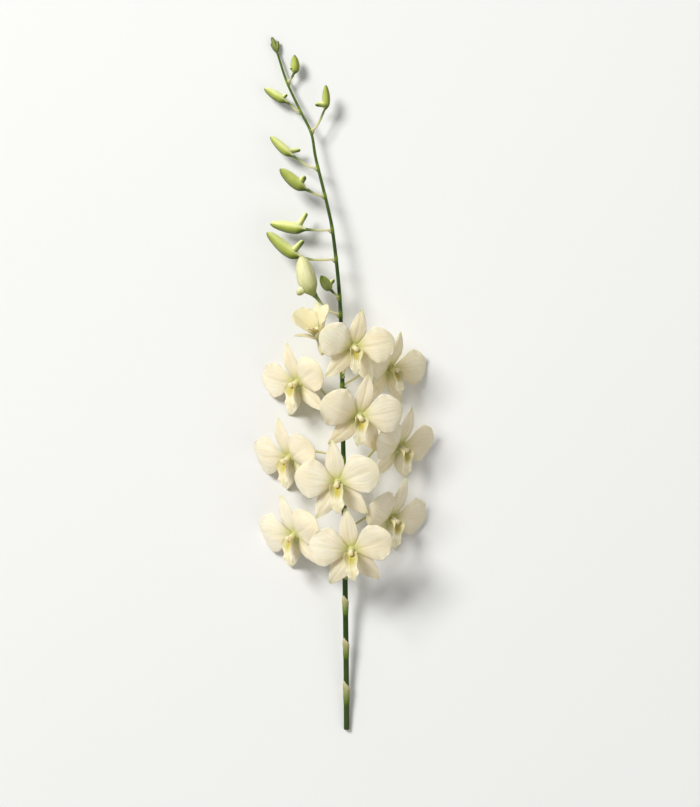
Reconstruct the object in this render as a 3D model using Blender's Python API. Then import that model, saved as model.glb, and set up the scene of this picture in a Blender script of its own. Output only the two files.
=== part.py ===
"""A cut dendrobium orchid stem, lying on a surface.

The stem runs along +Y with its tip at +Y, +X is to the right seen from above and +Z is up. The
origin lies on the surface, under the middle of the whole spray. Sizes below are in millimetres
and degrees, and every mesh is turned to metres where it is made.

A bloom has its own frame: its face looks along +Z and its upper (dorsal) sepal points along +Y.
"""

import math

import bmesh
import bpy
import numpy as np
from mathutils import Matrix, Vector

MM = 0.001

# Where the cut end of the stem's centre line lies, seen from the origin
CUT_END = (2.0, -284.5)

# Centre line of the stem from its cut end to its tip: across, along, height
STEM_LINE = (
    (0.0, 0.0, 2.3),
    (-0.4, 60.0, 9.5),
    (-1.4, 136.0, 19.0),
    (-2.6, 227.0, 26.0),
    (-4.0, 314.0, 27.0),
    (-6.0, 359.0, 25.5),
    (-11.0, 405.0, 22.5),
    (-16.0, 430.0, 20.5),
    (-25.0, 467.0, 16.5),
    (-28.8, 488.0, 14.0),
    (-38.0, 507.0, 11.0),
    (-49.0, 531.0, 7.0),
    (-56.5, 554.0, 4.4),
)
STEM_RADII = ((0.0, 2.3), (150.0, 2.1), (330.0, 1.6), (450.0, 1.25), (554.0, 0.9))
STEM_SIDES = 8
STEM_RING_STEP = 20.0

# Papery sheaths on the bare lower stem: distance along it and length
SHEATHS = ((24.0, 17.0), (62.0, 15.0), (98.0, 14.0))
# Share of a sheath's length, how far it stands off the stem there; its two ends dip into the stem
SHEATH_PROFILE = ((0.0, -0.4), (0.12, 0.40), (0.8, 0.60), (1.0, -0.4))

# Small scale under each flower stalk
BRACT_LENGTH = 5.0
BRACT_WIDTH = 1.9
BRACT_TIP = 0.35
BRACT_SIDES = 4
# How far below its stalk a scale starts, and how far from the stem's centre line
BRACT_DROP, BRACT_OFFSET = 3.2, 0.5

STALK_RADIUS = 0.95
STALK_SIDES = 5
STALK_POINTS = 7
# The ovary swells over the last part of a stalk, from this share of its length
SWELL_FROM = 0.55
OVARY_RADIUS = 1.7
STRAIGHT_END = 1.5
# Pull of a stalk's two end directions, as a share of its span
CURVE_PULL = 0.36
# Gap between a stalk and the flower or bud that sits on it
SEAT_GAP = 0.3

# Blades: sepals, petals and lips
BLADE_THICKNESS = 0.8
NEARLY_FLAT = 0.0001

# Points of a union closer than this are one point (metres)
WELD = 0.000001

# The middle of a bloom, where everything joins: a cone from its face to its stalk
CORE_RINGS = ((1.0, 3.4), (-1.0, 4.3), (-4.6, 3.3), (-8.0, 1.8))
CORE_SIDES = 8
CORE_BACK = CORE_RINGS[-1][0]
# The chin: the blunt spur behind the lower sepals
CHIN_LINE = ((0.0, -1.0, -2.0), (0.0, -5.5, -4.6), (0.0, -8.8, -8.2), (0.0, -9.6, -10.6))
CHIN_RADII = (3.3, 3.0, 2.1, 0.9)
CHIN_SIDES = 6

# Seed for the small differences between blooms
WOBBLE_SEED = 21


class Tepal:
    """One sepal or petal of a bloom, before it is placed."""

    def __init__(self, name, angle, length, width, claw, widest, tip, blunt, base, rise, fall, fold):
        self.name = name
        self.angle = angle
        self.length = length
        self.width = width
        self.claw = claw
        self.widest = widest
        self.tip = tip
        self.blunt = blunt
        self.base = base
        self.rise = rise
        self.fall = fall
        self.fold = fold


# name, angle clockwise from the upper sepal, length, half width; share of the half width at the
# claw, place of the widest row, share at the tip, how far the tip's corners are rounded back;
# height of its base, slope at its base and at its tip, fold of its cross section (1/mm)
TEPALS = (
    Tepal("upper_sepal", 0.0, 31.0, 7.0, 0.55, 0.42, 0.18, 0.03, -0.6, 20.0, -14.0, -0.015),
    Tepal("right_sepal", 143.0, 29.0, 7.8, 0.62, 0.40, 0.18, 0.03, -1.4, 12.0, -18.0, -0.015),
    Tepal("left_sepal", -143.0, 29.0, 7.8, 0.62, 0.40, 0.18, 0.03, -1.4, 12.0, -18.0, -0.015),
    Tepal("right_petal", 72.0, 31.0, 15.5, 0.17, 0.60, 0.62, 0.12, 0.4, 34.0, -20.0, -0.012),
    Tepal("left_petal", -72.0, 31.0, 15.5, 0.17, 0.60, 0.62, 0.12, 0.4, 34.0, -20.0, -0.012),
)
TEPAL_START = 3.0
# How sharply a blade's width rises from its claw, and falls to its tip
RISE_POWER, FALL_POWER = 1.4, 1.6
SEPAL_ROWS, SEPAL_COLUMNS = 6, 4
PETAL_ROWS, PETAL_COLUMNS = 6, 6
# Height of the ripple along a blade's edges, its turns along the blade and its shift between sides
PETAL_WAVE = 1.4
SEPAL_WAVE = 0.6
RIPPLE_TURNS, RIPPLE_SHIFT = 1.1, 1.2
# Most that a blade differs from its kind: share of its length, slope at its base and at its tip
LENGTH_WOBBLE, RISE_WOBBLE, FALL_WOBBLE = 0.03, 4.0, 6.0
# Slopes of a blade at its base and its tip while the bloom is still a bud
BUD_PETAL_SLOPES = (96.0, 84.0)
BUD_SEPAL_SLOPES = (88.0, 66.0)
# How fast blades fold round the bloom's axis as it closes, and how much narrower they are then
CUP = 1.4
BUD_NARROWING = 0.25

# The lip: a channel round the column, a waist, then the pointed middle lobe
LIP_LENGTH = 24.0
LIP_HALF_WIDTHS = (
    (0.0, 2.4),
    (0.15, 6.2),
    (0.28, 8.0),
    (0.43, 5.4),
    (0.57, 4.0),
    (0.72, 5.2),
    (0.86, 3.6),
    (1.0, 0.9),
)
LIP_FOLDS = ((0.0, 0.20), (0.3, 0.19), (0.55, 0.10), (0.75, 0.03), (1.0, 0.02))
LIP_ROWS, LIP_COLUMNS = 8, 5
LIP_BASE = 2.0
# Slopes at the lip's base and at its point, and at its point in a bud
LIP_RISE, LIP_FALL = 76.0, -8.0
BUD_LIP_FALL = 62.0
LIP_START = 0.8
# The column above the lip's base: height and radius of its rings, set off towards the upper sepal
COLUMN_RINGS = ((1.3, 2.5), (3.0, 2.2), (7.0, 1.5), (8.6, 2.0), (9.8, 1.2))
COLUMN_OFFSET = 0.6
COLUMN_SIDES = 6
# Shares by which the column and the lip are narrower in a bud
BUD_COLUMN_SHRINK = 0.28
BUD_LIP_SHRINK = 0.5


class Bloom:
    """Where one bloom sits, how it faces and how far it has opened."""

    def __init__(self, node_at, place, nod, lean, turn, opening=1.0, size=1.0):
        self.node_at = node_at
        self.place = place
        self.nod = nod
        self.lean = lean
        self.turn = turn
        self.opening = opening
        self.size = size


# Distance of its node along the stem, place of the bloom's middle, how far it nods towards the cut
# end, leans to the right, and turns about its own face; how open it is and its size
# The first nine are in order from the cut end, and the last two fill the row over the stem
BLOOMS = (
    Bloom(144.0, (-42.0, 160.0, 21.15), 18.0, -42.0, 10.0, size=1.07),
    Bloom(164.0, (36.0, 174.0, 20.42), 20.0, 40.0, -10.0, size=1.07),
    Bloom(184.0, (-7.0, 204.0, 55.0), 14.0, -6.0, 5.0, size=1.09),
    Bloom(204.0, (43.0, 232.0, 20.92), 20.0, 44.0, -4.0, size=1.06),
    Bloom(222.0, (-46.0, 223.0, 21.72), 20.0, -42.0, 6.0, size=1.05),
    Bloom(242.0, (10.0, 257.0, 54.0), 16.0, 12.0, -8.0, size=1.07),
    Bloom(262.0, (-40.0, 284.0, 18.02), 14.0, -38.0, 6.0, size=1.02),
    Bloom(282.0, (35.0, 295.0, 16.5), 8.0, 44.0, -6.0, opening=0.88, size=1.0),
    Bloom(300.0, (-21.0, 321.0, 33.0), -46.0, -30.0, 10.0, opening=0.34, size=0.92),
    Bloom(128.0, (4.0, 150.0, 53.0), 16.0, -4.0, 6.0, size=1.06),
    Bloom(291.0, (6.0, 312.0, 52.0), 12.0, 12.0, -6.0, opening=0.9, size=1.0),
)


class Bud:
    """One bud: its stalk leaves the stem, bends at the elbow and ends in the bud's body."""

    def __init__(self, name, node_at, elbow, tip, spur, radius, spur_radius):
        self.name = name
        self.node_at = node_at
        self.elbow = elbow
        self.tip = tip
        self.spur = spur
        self.radius = radius
        self.spur_radius = spur_radius


# Distance of its node along the stem, then elbow, tip and spur end (across, along, height), then
# the half width of its body and of its spur
BUDS = (
    Bud("bud_h", 340.0, (-30.0, 360.5, 31.0), (-36.5, 387.0, 34.0), (-40.0, 355.5, 34.0), 7.8, 3.2),
    Bud("bud_i", 354.0, (-14.5, 361.0, 33.0), (-20.5, 370.0, 43.0), (-10.0, 367.5, 37.0), 4.2, 1.8),
    Bud("bud_a", 385.0, (-41.0, 387.5, 22.0), (-64.8, 406.5, 23.0), (-35.0, 399.5, 27.0), 5.2, 2.2),
    Bud("bud_b", 409.0, (-37.2, 409.5, 17.0), (-62.3, 414.2, 16.0), (-32.5, 423.0, 14.5), 4.9, 2.1),
    Bud("bud_c", 437.0, (-36.3, 443.2, 21.0), (-54.1, 457.8, 25.0), (-33.5, 452.0, 25.0), 5.1, 2.3),
    Bud("bud_d", 460.0, (-46.5, 471.1, 14.0), (-62.3, 485.7, 12.0), (-37.7, 474.9, 10.5), 3.9, 1.8),
    Bud("bud_e", 490.0, (-17.3, 509.0, 15.0), (-16.8, 526.8, 18.0), (-25.6, 511.0, 18.0), 3.3, 1.9),
    Bud("bud_f", 507.0, (-51.5, 515.4, 10.0), (-67.4, 525.4, 9.0), (-48.5, 520.0, 12.5), 3.9, 1.6),
    Bud("bud_g", 531.0, (-42.2, 540.0, 9.0), (-42.6, 552.5, 11.0), (-46.2, 541.5, 11.5), 3.8, 1.4),
)


# A bud's straight start, then shares of its half width from its base to its tip
BUD_STRAIGHT_START = 0.5
BUD_SHARES = (0.3, 0.86, 1.0, 0.96, 0.80, 0.50, 0.12)
BUD_SIDES = 8
# Where a spur starts along its bud, then its places from root to end and shares of its half width
SPUR_ROOT = 0.14
SPUR_PROFILE = ((0.0, 1.7), (0.4, 1.2), (0.85, 0.9), (1.0, 0.4))
SPUR_SIDES = 6

# The crowded buds at the very tip, on a short base: sideways spread, length and half width
TIP_BUDS = ((-0.02, 13.5, 2.1), (0.42, 9.5, 1.7), (-0.3, 9.0, 1.6))
TIP_BASE_LENGTH = 2.5
TIP_BASE_RADII = (0.9, 1.2)
TIP_BUD_PROFILE = ((0.0, 0.6), (0.35, 1.0), (0.7, 0.85), (1.0, 0.25))
TIP_BUD_START = 1.6


def interpolate(table, where):
    """Values at the given places in a table of (place, value) pairs."""
    return np.interp(where, [row[0] for row in table], [row[1] for row in table])


def smooth_line(points, count):
    """Points spaced evenly in parameter on a Catmull-Rom curve through the given points."""
    points = np.array(points, dtype=float)
    padded = np.vstack([2 * points[0] - points[1], points, 2 * points[-1] - points[-2]])
    result = []
    for value in np.linspace(0.0, len(points) - 1.0, count):
        first = min(int(value), len(points) - 2)
        t = value - first
        a, b, c, d = padded[first : first + 4]
        point = 2 * b + (c - a) * t + (2 * a - 5 * b + 4 * c - d) * t**2 + (3 * b - a - 3 * c + d) * t**3
        result.append(0.5 * point)
    return np.array(result)


def unit(vector):
    """The vector at length 1."""
    vector = np.array(vector, dtype=float)
    return vector / np.linalg.norm(vector)


def tube_rings(line, radii, sides, seam=(0.0, 0.0, 1.0)):
    """Rings of points round a line, each square to it and untwisted; the first starts at the seam."""
    rings = []
    up = np.array(seam)
    for point, direction, radius in zip(line, np.gradient(line, axis=0), radii):
        direction = unit(direction)
        up = unit(up - direction * np.dot(up, direction))
        side = np.cross(direction, up)
        turns = 2 * math.pi * np.arange(sides) / sides
        rings.append(point + radius * (np.outer(np.cos(turns), up) - np.outer(np.sin(turns), side)))
    return rings


def loft(rings):
    """Closed mesh through rings of equal point counts, with a flat cap at each end."""
    count = len(rings[0])
    vertices = np.vstack(rings)
    faces = []
    for level in range(len(rings) - 1):
        for index in range(count):
            following = (index + 1) % count
            low, high = level * count, (level + 1) * count
            faces.append((low + index, low + following, high + following))
            faces.append((low + index, high + following, high + index))
    faces.append(tuple(range(count))[::-1])
    top = (len(rings) - 1) * count
    faces.append(tuple(range(top, top + count)))
    return vertices, faces


def tube(points, radii, sides, seam=(0.0, 0.0, 1.0)):
    """Closed tube along the points, one radius for each."""
    return loft(tube_rings(np.array(points, dtype=float), radii, sides, seam))


def blade(middle, normal, thickness):
    """Closed blade about a grid of middle points, triangulated alike on both faces."""
    rows, columns = middle.shape[:2]
    half = normal * thickness / 2
    vertices = np.vstack([(middle + half).reshape(-1, 3), (middle - half).reshape(-1, 3)])
    back = rows * columns
    faces = []
    for row in range(rows - 1):
        for column in range(columns - 1):
            a = row * columns + column
            b = a + columns
            if column < (columns - 1) / 2:
                halves = ((a, b, a + 1), (b, b + 1, a + 1))
            else:
                halves = ((a, b, b + 1), (a, b + 1, a + 1))
            for half_1, half_2, half_3 in halves:
                faces.append((half_1, half_2, half_3))
                faces.append((back + half_3, back + half_2, back + half_1))
    left = [row * columns for row in range(rows)]
    tip = [(rows - 1) * columns + column for column in range(1, columns)]
    right = [row * columns + columns - 1 for row in range(rows - 2, -1, -1)]
    base = list(range(columns - 2, 0, -1))
    edge = left + tip + right + base
    for p, q in zip(edge, edge[1:] + edge[:1]):
        faces.append((p, back + p, back + q))
        faces.append((p, back + q, q))
    return vertices, faces


def midrib(distance, length, start, base, rise, fall):
    """Radius, height and slope at a distance along a midrib whose slope turns evenly."""
    rise, fall = math.radians(rise), math.radians(fall)
    slope = rise + (fall - rise) * distance / length
    bend = length / (fall - rise)
    radius = start + bend * (np.sin(slope) - math.sin(rise))
    height = base - bend * (np.cos(slope) - math.cos(rise))
    return radius, height, slope


def half_width(u, claw, widest, tip):
    """Share of the half width at u: a sine rise from the claw, then a parabola to the tip."""
    rising = claw + (1 - claw) * np.sin(0.5 * math.pi * np.clip(u / widest, 0, 1)) ** RISE_POWER
    falling = 1 - (1 - tip) * (np.clip(u - widest, 0, 1) / (1 - widest)) ** FALL_POWER
    return np.where(u < widest, rising, falling)


def place_on_midrib(angle, reach, fold, wave, midrib_values):
    """Middle points and front directions of a blade whose cross section is an arc.

    reach is the signed distance from the midrib along the arc, fold the arc's curvature and wave
    the height of the blade's ripple in front of it.
    """
    radius, height, slope = midrib_values
    angle = math.radians(angle)
    outward = np.array([math.sin(angle), math.cos(angle), 0.0])
    sideways = np.array([-math.cos(angle), math.sin(angle), 0.0])
    upward = np.array([0.0, 0.0, 1.0])
    bend = fold * reach
    across = np.sin(bend) / fold
    lift = (1 - np.cos(bend)) / fold + wave
    front = np.cos(slope)[..., None] * upward - np.sin(slope)[..., None] * outward
    rib = radius[..., None] * outward + height[..., None] * upward
    middle = rib + across[..., None] * sideways + lift[..., None] * front
    normal = np.cos(bend)[..., None] * front - np.sin(bend)[..., None] * sideways
    return middle, normal


def tepal_grid(tepal, bloom, wobble, rows, columns, wave):
    """Middle surface of one sepal or petal.

    A bud opens by its blades turning down from the axis towards the face, so a half open bloom has
    steeper slopes, and its blades fold round the axis like a cone.
    """
    u, v = np.meshgrid(np.linspace(0, 1, rows), np.linspace(-1, 1, columns), indexing="ij")
    closed = 1.0 - bloom.opening
    length = tepal.length * bloom.size * (1 + LENGTH_WOBBLE * wobble[0])
    bud_rise, bud_fall = BUD_PETAL_SLOPES if "petal" in tepal.name else BUD_SEPAL_SLOPES
    rise = tepal.rise + closed * (bud_rise - tepal.rise) + RISE_WOBBLE * wobble[1]
    fall = tepal.fall + closed * (bud_fall - tepal.fall) + FALL_WOBBLE * wobble[2]
    distance = length * u * (1 - tepal.blunt * (u * v) ** 2)
    middle = midrib(distance, length, TEPAL_START, tepal.base, rise, fall)
    width = tepal.width * bloom.size * (1 - BUD_NARROWING * closed)
    reach = v * width * half_width(u, tepal.claw, tepal.widest, tepal.tip)
    cone = np.sin(middle[2]) / np.maximum(middle[0], TEPAL_START)
    fold = tepal.fold + min(1.0, CUP * closed) * cone
    fold = np.where(np.abs(fold) < NEARLY_FLAT, NEARLY_FLAT, fold)
    phase = 2 * math.pi * RIPPLE_TURNS * u + math.pi * wobble[3] + RIPPLE_SHIFT * np.sign(v)
    ripple = wave * bloom.opening * np.sin(phase) * u * v**2
    return place_on_midrib(tepal.angle, reach, fold, ripple, middle)


def lip_grid(bloom):
    """Middle surface of the lip, from the base of the column forward and down to its point."""
    u, v = np.meshgrid(np.linspace(0, 1, LIP_ROWS), np.linspace(-1, 1, LIP_COLUMNS), indexing="ij")
    length = LIP_LENGTH * bloom.size
    closed = 1.0 - bloom.opening
    fall = LIP_FALL + closed * (BUD_LIP_FALL - LIP_FALL)
    middle = midrib(length * u, length, LIP_START, LIP_BASE, LIP_RISE, fall)
    width = interpolate(LIP_HALF_WIDTHS, u) * bloom.size * (1 - BUD_LIP_SHRINK * closed)
    fold = interpolate(LIP_FOLDS, u) + NEARLY_FLAT
    return place_on_midrib(180.0, v * width, fold, np.zeros_like(u), middle)


def bloom_matrix(bloom):
    """Place of a bloom: turned about its face, then nodded, then leaned, then moved."""
    turn = Matrix.Rotation(math.radians(bloom.turn), 4, "Z")
    nod = Matrix.Rotation(math.radians(bloom.nod), 4, "X")
    lean = Matrix.Rotation(math.radians(bloom.lean), 4, "Y")
    return Matrix.Translation(Vector(bloom.place) * MM) @ lean @ nod @ turn


def make_material(name, colour, roughness):
    """Principled material of one plain colour, which stays rough and not metallic."""
    material = bpy.data.materials.new(name)
    material.use_nodes = True
    shader = material.node_tree.nodes["Principled BSDF"]
    shader.inputs["Base Color"].default_value = (*colour, 1.0)
    shader.inputs["Roughness"].default_value = roughness
    shader.inputs["Metallic"].default_value = 0.0
    material.diffuse_color = (*colour, 1.0)
    return material


def add_piece(name, shape, material, collection=None):
    """Object from a pair of vertices (millimetres) and faces."""
    vertices, faces = shape
    mesh = bpy.data.meshes.new(name)
    mesh.from_pydata((np.array(vertices) * MM).tolist(), [], faces)
    mesh.materials.append(material)
    mesh.update()
    piece = bpy.data.objects.new(name, mesh)
    (collection or bpy.context.scene.collection).objects.link(piece)
    return piece


def join_shapes(name, shapes, material):
    """One closed piece from shapes that cross each other, by one union on a collection."""
    piece = add_piece(name, shapes[0], material)
    others = bpy.data.collections.new(name + "_shapes")
    bpy.context.scene.collection.children.link(others)
    for number, shape in enumerate(shapes[1:]):
        add_piece(f"{name}_shape_{number}", shape, material, others)
    union = piece.modifiers.new("union", "BOOLEAN")
    union.operation = "UNION"
    union.operand_type = "COLLECTION"
    union.collection = others
    union.solver = "EXACT"
    graph = bpy.context.evaluated_depsgraph_get()
    joined = bpy.data.meshes.new_from_object(piece.evaluated_get(graph))
    piece.modifiers.remove(union)
    piece.data = joined
    for helper in list(others.objects):
        bpy.data.objects.remove(helper)
    bpy.data.collections.remove(others)
    joined.materials.clear()
    joined.materials.append(material)
    tidy_mesh(joined)
    return piece


def tidy_mesh(mesh):
    """Joins the doubled points that a union leaves, splits all faces and shades the piece smooth."""
    work = bmesh.new()
    work.from_mesh(mesh)
    bmesh.ops.remove_doubles(work, verts=work.verts, dist=WELD)
    bmesh.ops.dissolve_degenerate(work, dist=WELD, edges=work.edges)
    bmesh.ops.triangulate(work, faces=work.faces)
    work.to_mesh(mesh)
    work.free()
    mesh.shade_smooth()
    mesh.set_sharp_from_angle(angle=math.radians(50))


def stem_frame(along):
    """Point on the stem's centre line where its Y is the given distance, and its direction."""
    line = smooth_line(STEM_LINE, 800)
    point = np.array([np.interp(along, line[:, 1], line[:, axis]) for axis in range(3)])
    ahead = np.array([np.interp(along + 1.0, line[:, 1], line[:, axis]) for axis in range(3)])
    behind = np.array([np.interp(along - 1.0, line[:, 1], line[:, axis]) for axis in range(3)])
    return point, unit(ahead - behind)


def stem_shape():
    """The stem itself, from the cut end to the tip."""
    tip = STEM_LINE[-1][1]
    count = int(tip / STEM_RING_STEP)
    line = np.array([stem_frame(along)[0] for along in np.linspace(0.0, tip, count)])
    radii = [interpolate(STEM_RADII, point[1]) for point in line]
    return tube(line, radii, STEM_SIDES)


def sheath_shape(along, length):
    """A papery sheath: a sleeve round the stem that widens a little towards its free end."""
    line = [stem_frame(along + length * share)[0] for share, _ in SHEATH_PROFILE]
    radii = [interpolate(STEM_RADII, along) + clearance for _, clearance in SHEATH_PROFILE]
    return tube(line, radii, STEM_SIDES, seam=(0.25, 0.0, 1.0))


def stalk_line(start, start_direction, end, end_direction, count=STALK_POINTS):
    """A stalk's centre line: a cubic curve, and then a short straight end square to its seat."""
    start = np.array(start, dtype=float)
    last = np.array(end, dtype=float)
    end = last - unit(end_direction) * STRAIGHT_END
    span = np.linalg.norm(end - start)
    first = start + unit(start_direction) * span * CURVE_PULL
    second = end - unit(end_direction) * span * CURVE_PULL
    t = np.linspace(0, 1, count - 1)[:, None]
    curve = (1 - t) ** 3 * start + 3 * (1 - t) ** 2 * t * first + 3 * (1 - t) * t**2 * second + t**3 * end
    return np.vstack([curve, last])


def stalk_shape(line, end_radius):
    """A flower stalk that swells to the ovary at its end."""
    shares = np.linspace(0, 1, len(line))
    swell = np.clip((shares - SWELL_FROM) / (1 - SWELL_FROM), 0, 1) ** 1.3
    radii = STALK_RADIUS + (end_radius - STALK_RADIUS) * swell
    return tube(line, radii, STALK_SIDES, seam=(0.3, 0.2, 1.0))


def bract_shape(point, direction, outward):
    """A small pointed scale on the stem under a flower stalk."""
    lean = unit(direction * 0.8 + outward * 0.6)
    start = point - direction * BRACT_DROP + outward * BRACT_OFFSET
    line = [start, start + lean * BRACT_LENGTH]
    return tube(line, (BRACT_WIDTH, BRACT_TIP), BRACT_SIDES, seam=(0.3, 0.1, 1.0))


def bloom_stalk(bloom):
    """Centre line of a bloom's stalk, which ends square to the back of the bloom."""
    node, direction = stem_frame(bloom.node_at)
    matrix = bloom_matrix(bloom)
    seat = np.array(matrix @ Vector((0.0, 0.0, (CORE_BACK - SEAT_GAP) * MM))) / MM
    facing = np.array(matrix.to_3x3() @ Vector((0.0, 0.0, 1.0)))
    outward = unit(seat - node - direction * np.dot(seat - node, direction))
    leaving = outward * 0.9 + direction * 0.4
    return node, direction, outward, stalk_line(node, leaving, seat, facing)


def bud_base_radius(bud):
    """Radius at the bottom of a bud and at the top of its stalk."""
    return max(STALK_RADIUS, bud.radius * 0.3)


def bud_stalk(bud):
    """Centre line of a bud's stalk, which ends at the bud's own ovary."""
    node, direction = stem_frame(bud.node_at)
    elbow = np.array(bud.elbow)
    outward = unit(elbow - node - direction * np.dot(elbow - node, direction))
    heading = unit(unit(elbow - node) + 0.5 * unit(np.array(bud.tip) - elbow))
    seat = elbow - heading * (bud.radius * 0.9 + SEAT_GAP)
    return node, direction, outward, stalk_line(node, outward, seat, heading), heading


def make_stem(material):
    """The stem with its sheaths, scales and flower stalks."""
    shapes = [stem_shape()]
    for along, length in SHEATHS:
        shapes.append(sheath_shape(along, length))
    for bloom in BLOOMS:
        node, direction, outward, line = bloom_stalk(bloom)
        shapes.append(stalk_shape(line, OVARY_RADIUS))
        shapes.append(bract_shape(node, direction, outward))
    for bud in BUDS:
        node, direction, outward, line, _ = bud_stalk(bud)
        shapes.append(stalk_shape(line, bud_base_radius(bud)))
        shapes.append(bract_shape(node, direction, outward))
    return join_shapes("stem", shapes, material)


def core_shape():
    """The middle of a bloom, from its face back to its stalk."""
    turns = 2 * math.pi * np.arange(CORE_SIDES) / CORE_SIDES
    rings = []
    for height, radius in reversed(CORE_RINGS):
        level = np.full(CORE_SIDES, height)
        rings.append(np.stack([radius * np.cos(turns), radius * np.sin(turns), level], axis=1))
    return loft(rings)


def make_bloom(number, bloom, material):
    """Sepals, petals, core and chin of one bloom."""
    draws = np.random.default_rng(WOBBLE_SEED + number).uniform(-1, 1, size=(len(TEPALS), 4))
    shapes = [core_shape()]
    shapes.append(tube(CHIN_LINE, CHIN_RADII, CHIN_SIDES, seam=(1.0, 0.0, 0.0)))
    for tepal, wobble in zip(TEPALS, draws):
        petal = "petal" in tepal.name
        rows, columns = (PETAL_ROWS, PETAL_COLUMNS) if petal else (SEPAL_ROWS, SEPAL_COLUMNS)
        wave = PETAL_WAVE if petal else SEPAL_WAVE
        middle, normal = tepal_grid(tepal, bloom, wobble, rows, columns, wave)
        shapes.append(blade(middle, normal, BLADE_THICKNESS))
    piece = join_shapes(f"bloom_{number}", shapes, material)
    piece.matrix_world = bloom_matrix(bloom)
    return piece


def make_lip(number, bloom, material):
    """Lip and column of one bloom, grown together on a small base."""
    turns = 2 * math.pi * np.arange(COLUMN_SIDES) / COLUMN_SIDES
    closed = 1.0 - bloom.opening
    rings = []
    for height, radius in COLUMN_RINGS:
        radius *= 1.0 - BUD_COLUMN_SHRINK * closed
        x = radius * np.cos(turns)
        y = radius * np.sin(turns) + COLUMN_OFFSET
        rings.append(np.stack([x, y, np.full(COLUMN_SIDES, height)], axis=1))
    middle, normal = lip_grid(bloom)
    shapes = [loft(rings), blade(middle, normal, BLADE_THICKNESS)]
    piece = join_shapes(f"lip_{number}", shapes, material)
    piece.matrix_world = bloom_matrix(bloom)
    return piece


def bud_shapes(bud):
    """Ovary and body of a bud in one tube, and its spur."""
    _, _, _, line, heading = bud_stalk(bud)
    seat = line[-1] + heading * SEAT_GAP
    elbow, tip, spur = np.array(bud.elbow), np.array(bud.tip), np.array(bud.spur)
    start = seat + heading * BUD_STRAIGHT_START
    points = np.vstack([seat, stalk_line(start, heading, tip, unit(tip - elbow), len(BUD_SHARES))])
    radii = [bud_base_radius(bud), bud_base_radius(bud)] + [share * bud.radius for share in BUD_SHARES[1:]]
    body = tube(points, radii, BUD_SIDES, seam=(0.2, 0.1, 1.0))
    root = elbow + (tip - elbow) * SPUR_ROOT
    spur_line = [root + (spur - root) * place for place, _ in SPUR_PROFILE]
    spur_radii = [bud.spur_radius * share for _, share in SPUR_PROFILE]
    return [body, tube(spur_line, spur_radii, SPUR_SIDES, seam=(0.2, 0.1, 1.0))]


def make_tip_buds(material):
    """The unopened buds crowded at the very tip of the stem."""
    point, direction = stem_frame(STEM_LINE[-1][1])
    side = unit(np.cross(direction, (0.0, 0.0, 1.0)))
    start = point + direction * SEAT_GAP
    shapes = [tube([start, start + direction * TIP_BASE_LENGTH], TIP_BASE_RADII, SPUR_SIDES)]
    for spread, reach, radius in TIP_BUDS:
        heading = unit(direction + side * spread)
        root = start + direction * TIP_BUD_START
        line = [root + heading * reach * place for place, _ in TIP_BUD_PROFILE]
        radii = [radius * share for _, share in TIP_BUD_PROFILE]
        shapes.append(tube(line, radii, SPUR_SIDES))
    return join_shapes("tip_buds", shapes, material)


def build():
    """Builds every piece of the spray."""
    for item in list(bpy.data.objects):
        bpy.data.objects.remove(item)
    stem_green = make_material("stem_green", (0.055, 0.14, 0.02), 0.5)
    petal_white = make_material("petal_white", (0.84, 0.80, 0.68), 0.55)
    lip_cream = make_material("lip_cream", (0.76, 0.72, 0.40), 0.5)
    bud_green = make_material("bud_green", (0.48, 0.55, 0.14), 0.5)
    bud_cream = make_material("bud_cream", (0.72, 0.74, 0.38), 0.5)

    pieces = [make_stem(stem_green)]
    for number, bloom in enumerate(BLOOMS, start=1):
        pieces.append(make_bloom(number, bloom, petal_white))
        pieces.append(make_lip(number, bloom, lip_cream))
    for bud in BUDS:
        material = bud_cream if bud.name == "bud_h" else bud_green
        pieces.append(join_shapes(bud.name, bud_shapes(bud), material))
    pieces.append(make_tip_buds(bud_green))

    spray = bpy.data.objects.new("spray", None)
    bpy.context.scene.collection.objects.link(spray)
    spray.location = (CUT_END[0] * MM, CUT_END[1] * MM, 0.0)
    for piece in pieces:
        piece.parent = spray


build()
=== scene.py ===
"""A cut dendrobium orchid stem, lying on a pale surface and seen from above.

Each piece stands for one solid of the part and keeps its form on a finer grid. Sepals, petals and
lips are thin blades bent along an arc. Stems, stalks, buds and spurs are tubes along a curve. The
finer grid adds waved edges, midribs, keels, seams and veins.

Lengths are in millimetres and angles in degrees until a mesh is made. The stem runs along +Y with
its tip at +Y, and +Z is up. A bloom has its own frame, in which its face looks along +Z and its
upper sepal points along +Y.
"""

import logging
import math
from collections.abc import Sequence
from dataclasses import dataclass, replace
from enum import Enum

import bpy
import numpy as np
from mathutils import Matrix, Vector


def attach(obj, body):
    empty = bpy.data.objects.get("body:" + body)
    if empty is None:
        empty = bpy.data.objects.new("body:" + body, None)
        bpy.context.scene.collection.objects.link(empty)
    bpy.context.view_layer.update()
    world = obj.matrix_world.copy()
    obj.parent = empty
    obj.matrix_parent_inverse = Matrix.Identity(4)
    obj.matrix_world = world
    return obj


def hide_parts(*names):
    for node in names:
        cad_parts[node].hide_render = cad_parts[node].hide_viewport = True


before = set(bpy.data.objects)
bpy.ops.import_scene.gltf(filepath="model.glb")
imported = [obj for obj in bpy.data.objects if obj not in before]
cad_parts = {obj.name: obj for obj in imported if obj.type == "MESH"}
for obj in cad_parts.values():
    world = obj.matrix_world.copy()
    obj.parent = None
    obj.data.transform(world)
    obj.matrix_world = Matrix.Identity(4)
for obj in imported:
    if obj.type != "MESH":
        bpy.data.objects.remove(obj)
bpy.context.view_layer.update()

Array = np.ndarray
Point = tuple[float, float, float]
Pairs = tuple[tuple[float, float], ...]
LOG = logging.getLogger("orchid_stem")

MM = 0.001
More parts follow.
